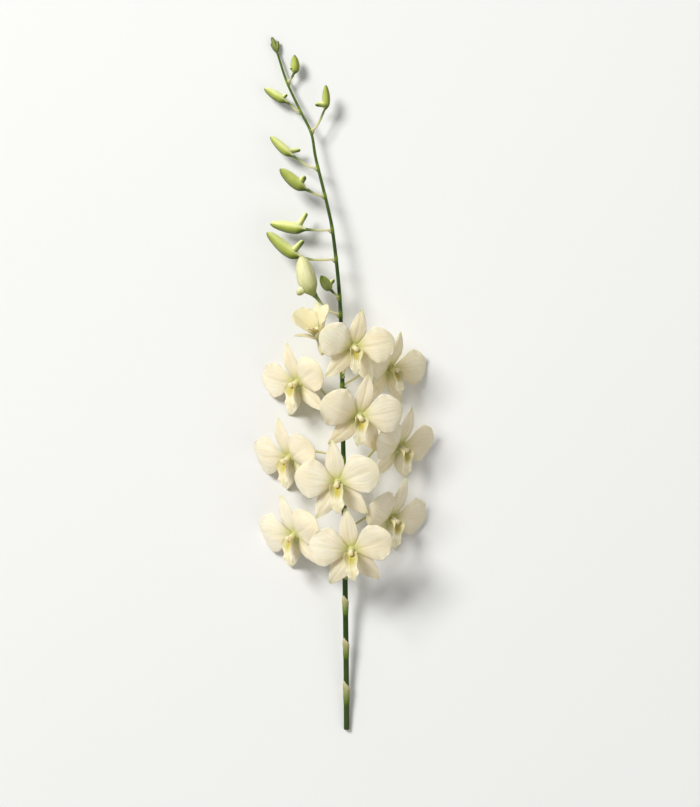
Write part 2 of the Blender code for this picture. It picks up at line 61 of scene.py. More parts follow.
# Where the cut end of the stem lies, seen from the middle of the whole spray
CUT_END = np.array([2.0, -284.5, 0.0])
UP = np.array([0.0, 0.0, 1.0])
RIGHT = np.array([1.0, 0.0, 0.0])
# Direction from which light is painted onto the buds: their colour is painted paler on the side
# facing it, as a painted highlight, and darker on the side away, as painted shade
PAINTED_LIGHT_FROM = np.array([-0.28, 0.86, 0.42])
# Gap between each bloom, lip or bud and what carries it
GAP = 0.3
# Depth of a bloom behind its own middle
BLOOM_DEPTH = 8.0
# Distance of the base of each sepal and petal from the bloom's axis
TEPAL_START = 3.0
OVARY_RADIUS = 1.7
# Curvature that stands for a flat section
FLAT = 0.0001
# Place along a stalk or bud where its straight end begins, and the length of that end
KNEE = 5 / 6
STRAIGHT = 1.5
# Length of tube over which its streaks change
STREAK_LENGTH = 14.0
# How far each colour of light spreads inside a tissue: red the furthest, blue the least
GLOW_SPREAD = (1.0, 0.85, 0.55)


def linear_colour(code: str) -> tuple[float, float, float, float]:
    """Turns an sRGB hex colour to linear light.

    Args:
        code: Six hex digits after a hash.

    Returns:
        Red, green and blue in linear light, and 1 for opaque. Each channel c becomes
        ((c + 0.055) / 1.055) to the power 2.4, or c / 12.92 in the darkest part.
    """
    channels = [int(code[place : place + 2], 16) / 255 for place in (1, 3, 5)]
    linear = [c / 12.92 if c <= 0.04045 else ((c + 0.055) / 1.055) ** 2.4 for c in channels]
    return linear[0], linear[1], linear[2], 1.0


def unit(vectors: Array) -> Array:
    """Vectors at length 1."""
    return vectors / np.linalg.norm(vectors, axis=-1, keepdims=True)


def ramp(values: Array, low: float, high: float) -> Array:
    """Smooth step from 0 at low to 1 at high: 3 t squared less 2 t cubed."""
    t = np.clip((values - low) / (high - low), 0.0, 1.0)
    return t * t * (3.0 - 2.0 * t)


def bell(values: Array, middle: float, width: float) -> Array:
    """Bell curve, 1 at its middle: e to the power of minus the squared distance in widths."""
    return np.exp(-(((values - middle) / width) ** 2))


def around(sides: int) -> Array:
    """Angles of the sides of a tube, in radians: even steps of one full turn."""
    return 2 * math.pi * np.arange(sides) / sides


def grid(rows: int, columns: int) -> tuple[Array, ...]:
    """Grids of u, from 0 at the base to 1 at the tip, and of v, from -1 to 1 across."""
    return tuple(np.meshgrid(np.linspace(0, 1, rows), np.linspace(-1, 1, columns), indexing="ij"))


def stretches(stops: tuple[float, ...], steps: tuple[int, ...]) -> Array:
    """Places from the first stop to the last, in so many even steps between each two stops."""
    places = [np.linspace(*span, endpoint=False) for span in zip(stops, stops[1:], steps)]
    return np.concatenate([*places, stops[-1:]])


def painted(flush: Array | float, accent: Array | float, tone: Array | float) -> Array:
    """Masks from their three parts, each an array or one number for all points."""
    return np.stack(np.broadcast_arrays(flush, accent, tone), axis=-1)


def through(table: Sequence[tuple[float, ...]], where: Array) -> Array:
    """Reads a smooth curve through a table of points.

    Args:
        table: Rows of a place and one or more values, in order of place.
        where: Places to read.

    Returns:
        Values at those places: cubic pieces that meet with the slope of their neighbours.
    """
    rows = np.array(table, dtype=float)
    places, values = rows[:, 0], rows[:, 1:]
    slopes = np.gradient(values, places, axis=0)
    first = np.clip(np.searchsorted(places, where, side="right") - 1, 0, len(places) - 2)
    span = (places[first + 1] - places[first])[:, None]
    t = ((where - places[first]) / span[:, 0])[:, None]
    start = (2 * t**3 - 3 * t**2 + 1) * values[first] + (t**3 - 2 * t**2 + t) * span * slopes[first]
    end = (3 * t**2 - 2 * t**3) * values[first + 1] + (t**3 - t**2) * span * slopes[first + 1]
    result = start + end
    return result[:, 0] if values.shape[1] == 1 else result


def rotation(axis: int, angle: float) -> Array:
    """Matrix of a right-handed turn by an angle in degrees about axis 0, 1 or 2."""
    c, s = math.cos(math.radians(angle)), math.sin(math.radians(angle))
    return np.roll([[1.0, 0.0, 0.0], [0.0, c, -s], [0.0, s, c]], axis, axis=(0, 1))


@dataclass
class Surface:
    """A mesh in the making.

    Attributes:
        points: Places in millimetres.
        faces: Four point numbers each; a triangle has -1 for its last.
        grain: For each point, where its streaks and veins are read: across, aside, along.
        masks: For each point, how much it takes of the flush colour, of the accent colour, and of
            the dimmer tone that tells one blade from the next.
    """

    points: Array
    faces: Array
    grain: Array
    masks: Array

    @staticmethod
    def joined(surfaces: list["Surface"]) -> "Surface":
        """Puts several surfaces into one.

        Args:
            surfaces: The surfaces, each closed by itself.

        Returns:
            One surface with all their points, and faces that count on from one to the next.
        """
        starts = np.cumsum([0] + [len(surface.points) for surface in surfaces[:-1]])
        faces = [np.where(s.faces < 0, -1, s.faces + start) for s, start in zip(surfaces, starts)]
        points, grain, masks = (
            np.vstack([getattr(surface, part) for surface in surfaces])
            for part in ("points", "grain", "masks")
        )
        return Surface(points, np.vstack(faces), grain, masks)

    def mesh(self, name: str) -> bpy.types.Mesh:
        """Makes the mesh in metres, in the frame of the whole spray.

        Args:
            name: Name of the mesh.

        Returns:
            The mesh, smooth, with the attributes grain and masks that its material reads.
        """
        used = self.faces >= 0
        counts = used.sum(axis=1)
        mesh = bpy.data.meshes.new(name)
        mesh.vertices.add(len(self.points))
        mesh.vertices.foreach_set("co", ((self.points + CUT_END) * MM).ravel())
        mesh.loops.add(int(counts.sum()))
        mesh.loops.foreach_set("vertex_index", self.faces[used].astype(np.int32))
        mesh.polygons.add(len(counts))
        mesh.polygons.foreach_set("loop_start", (np.cumsum(counts) - counts).astype(np.int32))
        mesh.update(calc_edges=True)
        for label in ("grain", "masks"):
            values = getattr(self, label).astype(np.float32)
            attribute = mesh.attributes.new(label, "FLOAT_VECTOR", "POINT")
            attribute.data.foreach_set("vector", values.ravel())
        mesh.shade_smooth()
        return mesh


def blade(
    middle: Array, normal: Array, thickness: Array, grain: Array, front: Array, back: Array
) -> Surface:
    """Makes a thin closed blade.

    Args:
        middle: Grid of middle points, from base to tip and, seen from the front, right to left.
        normal: Grid of directions towards the front.
        thickness: Grid of thicknesses.
        grain: Grid of places for the veins. Those of the back lie 3.7 aside.
        front: Grid of masks for the front.
        back: Grid of masks for the back.

    Returns:
        Front and back, half the thickness to each side of the middle, with one strip of faces
        round their edges.
    """
    rows, columns = middle.shape[:2]
    half = normal * thickness[..., None] / 2
    other = rows * columns
    n = np.arange(other).reshape(rows, columns)
    face = np.stack([n[:-1, :-1], n[1:, :-1], n[1:, 1:], n[:-1, 1:]], axis=-1).reshape(-1, 4)
    edge = np.concatenate([n[:, 0], n[-1, 1:], n[-2::-1, -1], n[0, -2:0:-1]])
    after = np.roll(edge, -1)
    rim = np.stack([edge, edge + other, after + other, after], axis=1)
    return Surface(
        np.concatenate([middle + half, middle - half]).reshape(-1, 3),
        np.vstack([face, face[:, ::-1] + other, rim]),
        np.concatenate([grain, grain + (0.0, 3.7, 0.0)]).reshape(-1, 3),
        np.clip(np.concatenate([front, back]), 0, 1).reshape(-1, 3),
    )


def tube(
    line: Array, radii: Array, masks: Array, sides: int, seam: Array | Point = UP,
    streak: float = 1.0, draw: float = 0.0, shade: float = 0.0, nose: float = 0.0,
) -> Surface:
    """Makes a closed tube along a line.

    Args:
        line: Points of its centre line.
        radii: Radius at each point, or at each point and side.
        masks: Masks at each point, or at each point and side.
        sides: Sides of the tube.
        seam: Direction near which the first side starts.
        streak: Streaks for each millimetre round the tube.
        draw: A number that sets its streaks apart from those of other tubes.
        shade: Strength of the painted light and shade: flush colour is added as painted shade on
            the
        side away from the light, and as much accent colour as a painted highlight on the side
        facing it.
        nose: Length of its rounded end.

    Returns:
        Rings square to the line, carried along it without twist, and closed by a point at each
        end. Over the nose the radii come in along a quarter of an ellipse, to a tenth.
    """
    ahead = unit(np.gradient(line, axis=0))
    ups = np.zeros_like(ahead)
    carried = np.array(seam, dtype=float)
    for number, direction in enumerate(ahead):
        carried = unit(carried - direction * (carried @ direction))
        ups[number] = carried
    swing = np.stack([np.cos(around(sides)), np.sin(around(sides))], axis=-1)
    spokes = swing[:, :1] * ups[:, None] + swing[:, 1:] * np.cross(ahead, ups)[:, None]

    steps = np.linalg.norm(np.diff(line, axis=0), axis=1)
    walked = np.concatenate([[0.0], np.cumsum(steps)])[:, None]
    radii = radii.reshape(len(line), -1)
    if nose:
        radii = radii * np.sqrt(1 - 0.99 * np.clip(1 - (walked[-1] - walked) / nose, 0, 1) ** 2)
    rings = line[:, None] + radii[..., None] * spokes
    grain = np.empty_like(spokes)
    grain[..., :2] = swing * radii.max() * streak + draw
    grain[..., 2] = walked / STREAK_LENGTH
    # Painted light and shade: the side facing the painted light direction gets accent colour as a
    # painted highlight, the side away from it gets flush colour as painted shade
    sunny = spokes @ PAINTED_LIGHT_FROM
    painted_light_and_shade = painted(ramp(-sunny, -0.55, 0.45), ramp(sunny, 0.30, 0.80), 0.0)
    masks = np.clip(masks.reshape(len(line), -1, 3) + shade * painted_light_and_shade, 0, 1)

    n = np.arange(len(line) * sides).reshape(-1, sides)
    after = np.roll(n, -1, axis=1)
    walls = np.stack([n[:-1], after[:-1], after[1:], n[1:]], axis=-1)
    foot, top, none = (np.full(sides, value) for value in (n.size, n.size + 1, -1))
    first = np.stack([foot, after[0], n[0], none], axis=1)
    last = np.stack([top, n[-1], after[-1], none], axis=1)
    ends = [0, -1]
    return Surface(
        np.vstack([rings.reshape(-1, 3), line[ends]]),
        np.vstack([walls.reshape(-1, 4), first, last]),
        np.vstack([grain.reshape(-1, 3), grain[ends].mean(axis=1)]),
        np.vstack([masks.reshape(-1, 3), masks[ends].mean(axis=1)]),
    )


def stalk_curve(start: Array, leaving: Array, end: Array, arriving: Array, w: Array) -> Array:
    """Draws the centre line of a stalk or bud.

    Args:
        start: Where it starts.
        leaving: Direction in which it starts.
        end: Where it ends.
        arriving: Direction in which it ends.
        w: Places from 0 at the start to 1 at the end.

    Returns:
        Points on a cubic curve whose two pulls are 0.36 of its span long, up to the knee, and on
        a straight line after it.
    """
    arriving = unit(arriving)
    bend_end = end - arriving * STRAIGHT
    pull = 0.36
    span = np.linalg.norm(bend_end - start)
    first = start + unit(leaving) * span * pull
    second = bend_end - arriving * span * pull
    t = np.clip(w / KNEE, 0, 1)[:, None]
    curve = (1 - t) ** 3 * start + 3 * (1 - t) ** 2 * t * first
    curve = curve + 3 * (1 - t) * t**2 * second + t**3 * bend_end
    return curve + np.clip((w - KNEE) / (1 - KNEE), 0, None)[:, None] * STRAIGHT * arriving


def add_node(
    tree: bpy.types.NodeTree, kind: str, values: dict[str | int, object]
) -> bpy.types.bpy_prop_collection:
    """Adds one node.

    Args:
        tree: The tree of a material or world.
        kind: Type of the node, without its prefix.
        values: The node's own properties by name, and then its inputs by name or number. A socket
            is linked and any other value is set.

    Returns:
        The node's outputs.
    """
    node = tree.nodes.new("ShaderNode" + kind)
    for key, value in values.items():
        if isinstance(key, str) and key not in node.inputs:
            setattr(node, key, value)
        elif isinstance(value, bpy.types.NodeSocket):
            tree.links.new(value, node.inputs[key])
        else:
            node.inputs[key].default_value = value
    return node.outputs


def empty_tree(owner: bpy.types.ID) -> bpy.types.NodeTree:
    """Empties a node tree.

    Args:
        owner: A material or world.

    Returns:
        Its tree, with nothing in it.
    """
    owner.use_nodes = True
    owner.node_tree.nodes.clear()
    return owner.node_tree


def layered(
    tree: bpy.types.NodeTree, body: str, layers: tuple[tuple[str, bpy.types.NodeSocket, float], ...]
) -> bpy.types.NodeSocket:
    """Lays colours over a body colour.

    Args:
        tree: The node tree.
        body: Hex colour underneath.
        layers: Hex colour of each layer, the socket that says how much of it shows, and the share
            of it that shows at most.

    Returns:
        Socket of the colour that results.
    """
    colour = linear_colour(body)
    for code, amount, share in layers:
        settings = {"operation": "MULTIPLY", "use_clamp": True, 0: amount, 1: share}
        part = add_node(tree, "Math", settings)[0]
        settings = {"data_type": "RGBA", 0: part, 6: colour, 7: linear_colour(code)}
        colour = add_node(tree, "Mix", settings)[2]
    return colour


@dataclass(frozen=True)
class Tissue:
    """How one kind of plant surface looks.

    Attributes:
        slot: Name of the material slot that it stands for; not used.
        body: Main colour.
        vein: Colour of its veins or streaks.
        mottle: Colour of its soft patches.
        flush: Colour where the flush mask is 1.
        accent: Colour where the accent mask is 1.
        veins: How strongly its veins colour it, and their depth.
        patches: How strongly its patches colour it, and their size.
        pores: Size and height of its fine grain.
        wax: Roughness and refractive index of its waxy skin.
        glow: Share of the light that passes into it, and how far that light spreads.
        sheen: Strength of the soft light that its fine hairs or cells catch.
    """

    slot: str
    body: str
    vein: str
    mottle: str
    flush: str
    accent: str
    veins: tuple[float, float]
    patches: tuple[float, float]
    pores: tuple[float, float]
    wax: tuple[float, float]
    glow: tuple[float, float]
    sheen: float = 0.0


class Finish(Enum):
    """The finishes of the spray, each named for the real tissue and how its surface grew."""

    # Petal skin of small domed cells: white and velvety, with soft veins and light inside it.
    # Real veins lie 0.8 mm apart; they are drawn at about 2 mm, so that they show from above.
    PETAL = Tissue(
        "petal_white",
        body="#FFF4DD", vein="#DDC9A0", mottle="#F4E2C0", flush="#BFC35E", accent="#D3DA94",
        veins=(0.34, 0.055), patches=(0.5, 14.0), pores=(0.9, 0.02), wax=(0.55, 1.40),
        glow=(0.45, 1.6), sheen=0.15,
    )
    # Lip of the same cells, but waxier and yellow-green where it folds round the column
    LIP = Tissue(
        "lip_cream",
        body="#FBF1D8", vein="#D9CA80", mottle="#F2E6BC", flush="#AFAC42", accent="#DFC356",
        veins=(0.5, 0.06), patches=(0.4, 9.0), pores=(0.7, 0.02), wax=(0.45, 1.42),
        glow=(0.4, 1.4), sheen=0.1,
    )
    # Closed bud with a smooth waxy skin: yellow-green, with darker seams and a soft gloss. Its
    # flush colour also serves as painted shade on the side away from the light, and its accent
    # colour as a painted highlight on the side facing it.
    BUD_GREEN = Tissue(
        "bud_green",
        body="#A9B63A", vein="#849128", mottle="#C4CE58", flush="#465A02", accent="#FDFFB4",
        veins=(0.55, 0.06), patches=(0.5, 8.0), pores=(0.8, 0.012), wax=(0.42, 1.4),
        glow=(0.2, 1.8), sheen=0.05,
    )
    # Bud close to opening: the white of the petals shows through the thin waxy skin. Its flush
    # colour also serves as painted shade on the side away from the light, and its accent colour as
    # a painted highlight on the side facing it.
    BUD_CREAM = Tissue(
        "bud_cream",
        body="#E9E5A8", vein="#C6C878", mottle="#F4F0C6", flush="#8C9836", accent="#FBF9DC",
        veins=(0.5, 0.07), patches=(0.5, 9.0), pores=(0.8, 0.012), wax=(0.45, 1.42),
        glow=(0.4, 1.8), sheen=0.08,
    )
    # Rind of the stem: grown smooth and waxy, dark green with darker lengthwise streaks
    STEM = Tissue(
        "stem_green",
        body="#203C07", vein="#102605", mottle="#38590E", flush="#84A026", accent="#5F6B2C",
        veins=(0.7, 0.07), patches=(0.5, 22.0), pores=(0.6, 0.015), wax=(0.45, 1.33),
        glow=(0.05, 0.8),
    )
    # Flower stalk: thin waxy skin, cream by the stem and green where it swells to the ovary
    STALK = Tissue(
        "stem_green",
        body="#CBCA84", vein="#AEB46C", mottle="#DAD7A8", flush="#3A5A0A", accent="#E2D8AC",
        veins=(0.5, 0.05), patches=(0.4, 7.0), pores=(0.5, 0.01), wax=(0.42, 1.43),
        glow=(0.2, 1.0),
    )
    # Dry scale and sheath: papery and ribbed, straw-coloured over green, with no gloss
    PAPERY = Tissue(
        "stem_green",
        body="#A7A968", vein="#6F7440", mottle="#C3BA84", flush="#5F7A30", accent="#D6CBA0",
        veins=(0.8, 0.08), patches=(0.6, 5.0), pores=(0.5, 0.03), wax=(0.7, 1.40),
        glow=(0.1, 0.6),
    )
    # Freshly cut face: wet pale pith with a ring of greener rind
    PITH = Tissue(
        "stem_green",
        body="#D9DFA8", vein="#9AA860", mottle="#E6E8C4", flush="#5D7D2C", accent="#B7C27A",
        veins=(0.9, 0.05), patches=(0.6, 1.5), pores=(0.3, 0.03), wax=(0.35, 1.38),
        glow=(0.2, 0.8),
    )

    def material(self) -> bpy.types.Material:
        """Builds the material of this finish.

        Returns:
            A material whose colour is the body colour, drifting to the mottle colour in soft
            patches, crossed by veins where a noise stretched along the piece passes its middle
            value, and mixed with the flush and accent colours by the piece's masks.
        """
        tissue = self.value
        material = bpy.data.materials.new(self.name.lower() + "_tissue")
        material.diffuse_color = linear_colour(tissue.body)
        tree = empty_tree(material)
        place = add_node(tree, "TexCoord", {})["Object"]
        grain, masks = (
            add_node(tree, "Attribute", {"attribute_name": name})["Vector"]
            for name in ("grain", "masks")
        )
        mask = add_node(tree, "SeparateXYZ", {"Vector": masks})
        noises = (
            {"Scale": 1.0, "Detail": 2.0, "Roughness": 0.45, "Vector": grain},
            {"Scale": 1.0 / (tissue.patches[1] * MM), "Detail": 3.0, "Vector": place},
            {"Scale": 1.0 / (tissue.pores[0] * MM), "Detail": 2.0, "Vector": place},
        )
        streaks, patches, pores = (add_node(tree, "TexNoise", noise)["Fac"] for noise in noises)
        middle = add_node(tree, "Math", {"operation": "SUBTRACT", 0: streaks, 1: 0.5})[0]
        away = add_node(tree, "Math", {"operation": "ABSOLUTE", 0: middle})[0]
        roughness, ior = tissue.wax
        ranges = (
            {"interpolation_type": "SMOOTHSTEP", "Value": away}
            | {"From Min": 0.0, "From Max": 0.07, "To Min": 1.0, "To Max": 0.0},
            {"From Min": 0.35, "From Max": 0.65, "Value": patches},
            {"To Min": roughness - 0.08, "To Max": roughness + 0.10, "Value": patches},
        )
        veins, patch, rough = (add_node(tree, "MapRange", span)["Result"] for span in ranges)
        layers = (
            (tissue.mottle, patch, tissue.patches[0]),
            (tissue.vein, veins, tissue.veins[0]),
            (tissue.mottle, mask["Z"], 0.8),
            (tissue.flush, mask["X"], 1.0),
            (tissue.accent, mask["Y"], 1.0),
        )
        relief = {"Strength": 1.0, "Distance": tissue.pores[1] * MM, "Height": pores}
        pitted = add_node(tree, "Bump", relief)["Normal"]
        relief = {"Strength": 1.0, "Distance": tissue.veins[1] * MM, "Height": veins}
        furrowed = add_node(tree, "Bump", {"invert": True, "Normal": pitted} | relief)["Normal"]
        skin = {
            "Base Color": layered(tree, tissue.body, layers), "Normal": furrowed,
            "Roughness": rough, "IOR": ior, "Sheen Weight": tissue.sheen,
            "Subsurface Weight": tissue.glow[0], "Subsurface Scale": tissue.glow[1] * MM,
            "Subsurface Radius": GLOW_SPREAD,
        }
        shader = add_node(tree, "BsdfPrincipled", skin)["BSDF"]
        add_node(tree, "OutputMaterial", {"Surface": shader})
        return material


def new_object(name: str, data: bpy.types.ID) -> bpy.types.Object:
    """Puts an object at the origin of the scene.

    Args:
        name: Name of the object.
        data: Its mesh, light or camera.

    Returns:
        The object.
    """
    made = bpy.data.objects.new(name, data)
    bpy.context.scene.collection.objects.link(made)
    return made


class Workshop:
    """Makes finished pieces and keeps one material for each finish."""

    def __init__(self) -> None:
        """Starts with no material."""
        self.materials: dict[Finish, bpy.types.Material] = {}

    def finish_piece(self, name: str, surface: Surface, finish: Finish, node: str) -> None:
        """Makes one piece, dresses it and puts it in its solid's place.

        Args:
            name: Name of the piece.
            surface: Its mesh in the making.
            finish: Its finish.
            node: The solid that it stands for.
        """
        if finish not in self.materials:
            self.materials[finish] = finish.material()
        mesh = surface.mesh(name)
        mesh.materials.append(self.materials[finish])
        piece = new_object(name, mesh)
        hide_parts(node)
        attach(piece, "root")
        counts = len(mesh.vertices), len(mesh.polygons)
        LOG.info("%s: %d points, %d faces, %s", name, *counts, finish.name)


@dataclass(frozen=True)
class StemLine:
    """The stem's centre line.

    Attributes:
        places: Across, along and height at points from the cut end to the tip.
        radii: Distance along the stem and its radius there.
    """

    places: tuple[Point, ...]
    radii: Pairs

    def at(self, along: Array | float) -> Array:
        """Reads the centre line.

        Args:
            along: Distances along Y.

        Returns:
            Points there, read between 800 points of a smooth curve through the places.
        """
        table = [(number, *place) for number, place in enumerate(self.places)]
        line = through(table, np.linspace(0.0, len(table) - 1.0, 800))
        return np.stack([np.interp(along, line[:, 1], line[:, axis]) for axis in range(3)], axis=-1)

    def frame_at(self, along: float) -> tuple[Array, Array]:
        """Point at a distance along the stem, and the stem's direction there."""
        behind, point, ahead = self.at(np.array([along - 1.0, along, along + 1.0]))
        return point, unit(ahead - behind)

    def radius_at(self, along: Array | float) -> Array | float:
        """Radius of the stem at a distance along it."""
        return np.interp(along, *np.transpose(self.radii))


STEM_LINE = StemLine(
    places=(
        (0.0, 0.0, 2.3), (-0.4, 60.0, 9.5), (-1.4, 136.0, 19.0), (-2.6, 227.0, 26.0),
        (-4.0, 314.0, 27.0), (-6.0, 359.0, 25.5), (-11.0, 405.0, 22.5), (-16.0, 430.0, 20.5),
        (-25.0, 467.0, 16.5), (-28.8, 488.0, 14.0), (-38.0, 507.0, 11.0), (-49.0, 531.0, 7.0),
        (-56.5, 554.0, 4.4),
    ),
    radii=((0.0, 2.3), (150.0, 2.1), (330.0, 1.6), (450.0, 1.25), (554.0, 0.9)),
)


@dataclass(frozen=True)
class Midrib:
    """A midrib whose slope turns evenly from its base to its tip, so it is an arc of a circle.

    Attributes:
        length: Length along the midrib.
        start: Distance of its base from the bloom's axis.
        base: Height of its base.
        rise: Slope at its base.
        fall: Slope at its tip.
    """

    length: float
    start: float
    base: float
    rise: float
    fall: float

    def at(self, distance: Array) -> tuple[Array, Array, Array]:
        """Follows the midrib.

        Args:
            distance: Distances along it.

        Returns:
            Distance from the axis, height, and slope in radians. With bend as length over the
            change of slope, the first grows by bend times the change of the sine of the slope,
            and the height falls by bend times the change of its cosine.
        """
        rise, fall = math.radians(self.rise), math.radians(self.fall)
        slope = rise + (fall - rise) * distance / self.length
        bend = self.length / (fall - rise)
        radius = self.start + bend * (np.sin(slope) - math.sin(rise))
        height = self.base - bend * (np.cos(slope) - math.cos(rise))
        return radius, height, slope

    def section(
        self, angle: float, distance: Array, reach: Array, fold: Array, lift: Array
    ) -> tuple[Array, Array]:
        """Lays a cross section over the midrib.

        Args:
            angle: Angle of the blade, clockwise from the upper sepal.
            distance: Distance along the midrib of each point.
            reach: Signed distance of each point from the midrib, along the section.
            fold: Curvature of the section, where positive bends towards the front.
            lift: Height of each point in front of the section.

        Returns:
            Middle points and front directions. The section is an arc: its points lie sin(fold
            reach) over fold aside and (1 - cos(fold reach)) over fold in front of the midrib.
        """
        radius, height, slope = (values[..., None] for values in self.at(distance))
        turn = math.radians(angle)
        outward = np.array([math.sin(turn), math.cos(turn), 0.0])
        sideways = np.array([-math.cos(turn), math.sin(turn), 0.0])
        bend = (fold * reach)[..., None]
        front = np.cos(slope) * UP - np.sin(slope) * outward
        rib = radius * outward + height * UP
        aside = np.sin(bend) / fold[..., None] * sideways
        forward = ((1 - np.cos(bend)) / fold[..., None] + lift[..., None]) * front
        return rib + aside + forward, np.cos(bend) * front - np.sin(bend) * sideways


@dataclass(frozen=True)
class Seat:
    """How a flower sits on its stalk.

    Attributes:
        aim: Point towards which the stalk leaves the stem.
        leaving: How far the stalk heads out of the stem, and along it, as it leaves.
        top: End of the stalk, a gap under the flower.
        heading: Direction in which it meets the flower.
        radius: Radius of the stalk there.
    """

    aim: Array
    leaving: tuple[float, float]
    top: Array
    heading: Array
    radius: float


@dataclass(frozen=True)
class BloomPlace:
    """Where one bloom sits, how it faces and how far it has opened.

    Attributes:
        number: Its number from the cut end.
        node_at: Distance along the stem where its stalk leaves.
        place: Across, along and height of its middle.
        nod: Angle by which it faces the cut end.
        lean: Angle by which it faces right.
        turn: Angle by which it turns about its own face.
        opening: 1 when fully open, 0 as a bud.
        size: Its size, as a share of the usual.
    """

    number: int
    node_at: float
    place: Point
    nod: float
    lean: float
    turn: float
    opening: float = 1.0
    size: float = 1.0

    @property
    def closed(self) -> float:
        """How far it still has to open."""
        return 1.0 - self.opening

    def turning(self) -> Array:
        """Matrix that turns about the face, then nods, then leans."""
        return rotation(1, self.lean) @ rotation(0, self.nod) @ rotation(2, self.turn)

    def placed(self, shapes: list[Surface]) -> Surface:
        """Shapes in the bloom's frame, joined, turned and moved to the bloom's place."""
        whole = Surface.joined(shapes)
        return replace(whole, points=whole.points @ self.turning().T + np.array(self.place))

    def seat(self) -> Seat:
        """Places the end of its stalk.

        Returns:
            A seat on the ovary, square to the bloom's face.
        """
        heading = self.turning() @ UP
        top = np.array(self.place) - (BLOOM_DEPTH + GAP) * heading
        return Seat(top, (0.9, 0.4), top, heading, OVARY_RADIUS)


BLOOMS = (
    BloomPlace(1, 144.0, (-42.0, 160.0, 21.15), 18.0, -42.0, 10.0, size=1.07),
    BloomPlace(2, 164.0, (36.0, 174.0, 20.42), 20.0, 40.0, -10.0, size=1.07),
    BloomPlace(3, 184.0, (-7.0, 204.0, 55.0), 14.0, -6.0, 5.0, size=1.09),
    BloomPlace(4, 204.0, (43.0, 232.0, 20.92), 20.0, 44.0, -4.0, size=1.06),
    BloomPlace(5, 222.0, (-46.0, 223.0, 21.72), 20.0, -42.0, 6.0, size=1.05),
    BloomPlace(6, 242.0, (10.0, 257.0, 54.0), 16.0, 12.0, -8.0, size=1.07),
    BloomPlace(7, 262.0, (-40.0, 284.0, 18.02), 14.0, -38.0, 6.0, size=1.02),
    BloomPlace(8, 282.0, (35.0, 295.0, 16.5), 8.0, 44.0, -6.0, opening=0.88),
    BloomPlace(9, 300.0, (-21.0, 321.0, 33.0), -46.0, -30.0, 10.0, opening=0.34, size=0.92),
    BloomPlace(10, 128.0, (4.0, 150.0, 53.0), 16.0, -4.0, 6.0, size=1.06),
    BloomPlace(11, 291.0, (6.0, 312.0, 52.0), 12.0, 12.0, -6.0, opening=0.9),
)


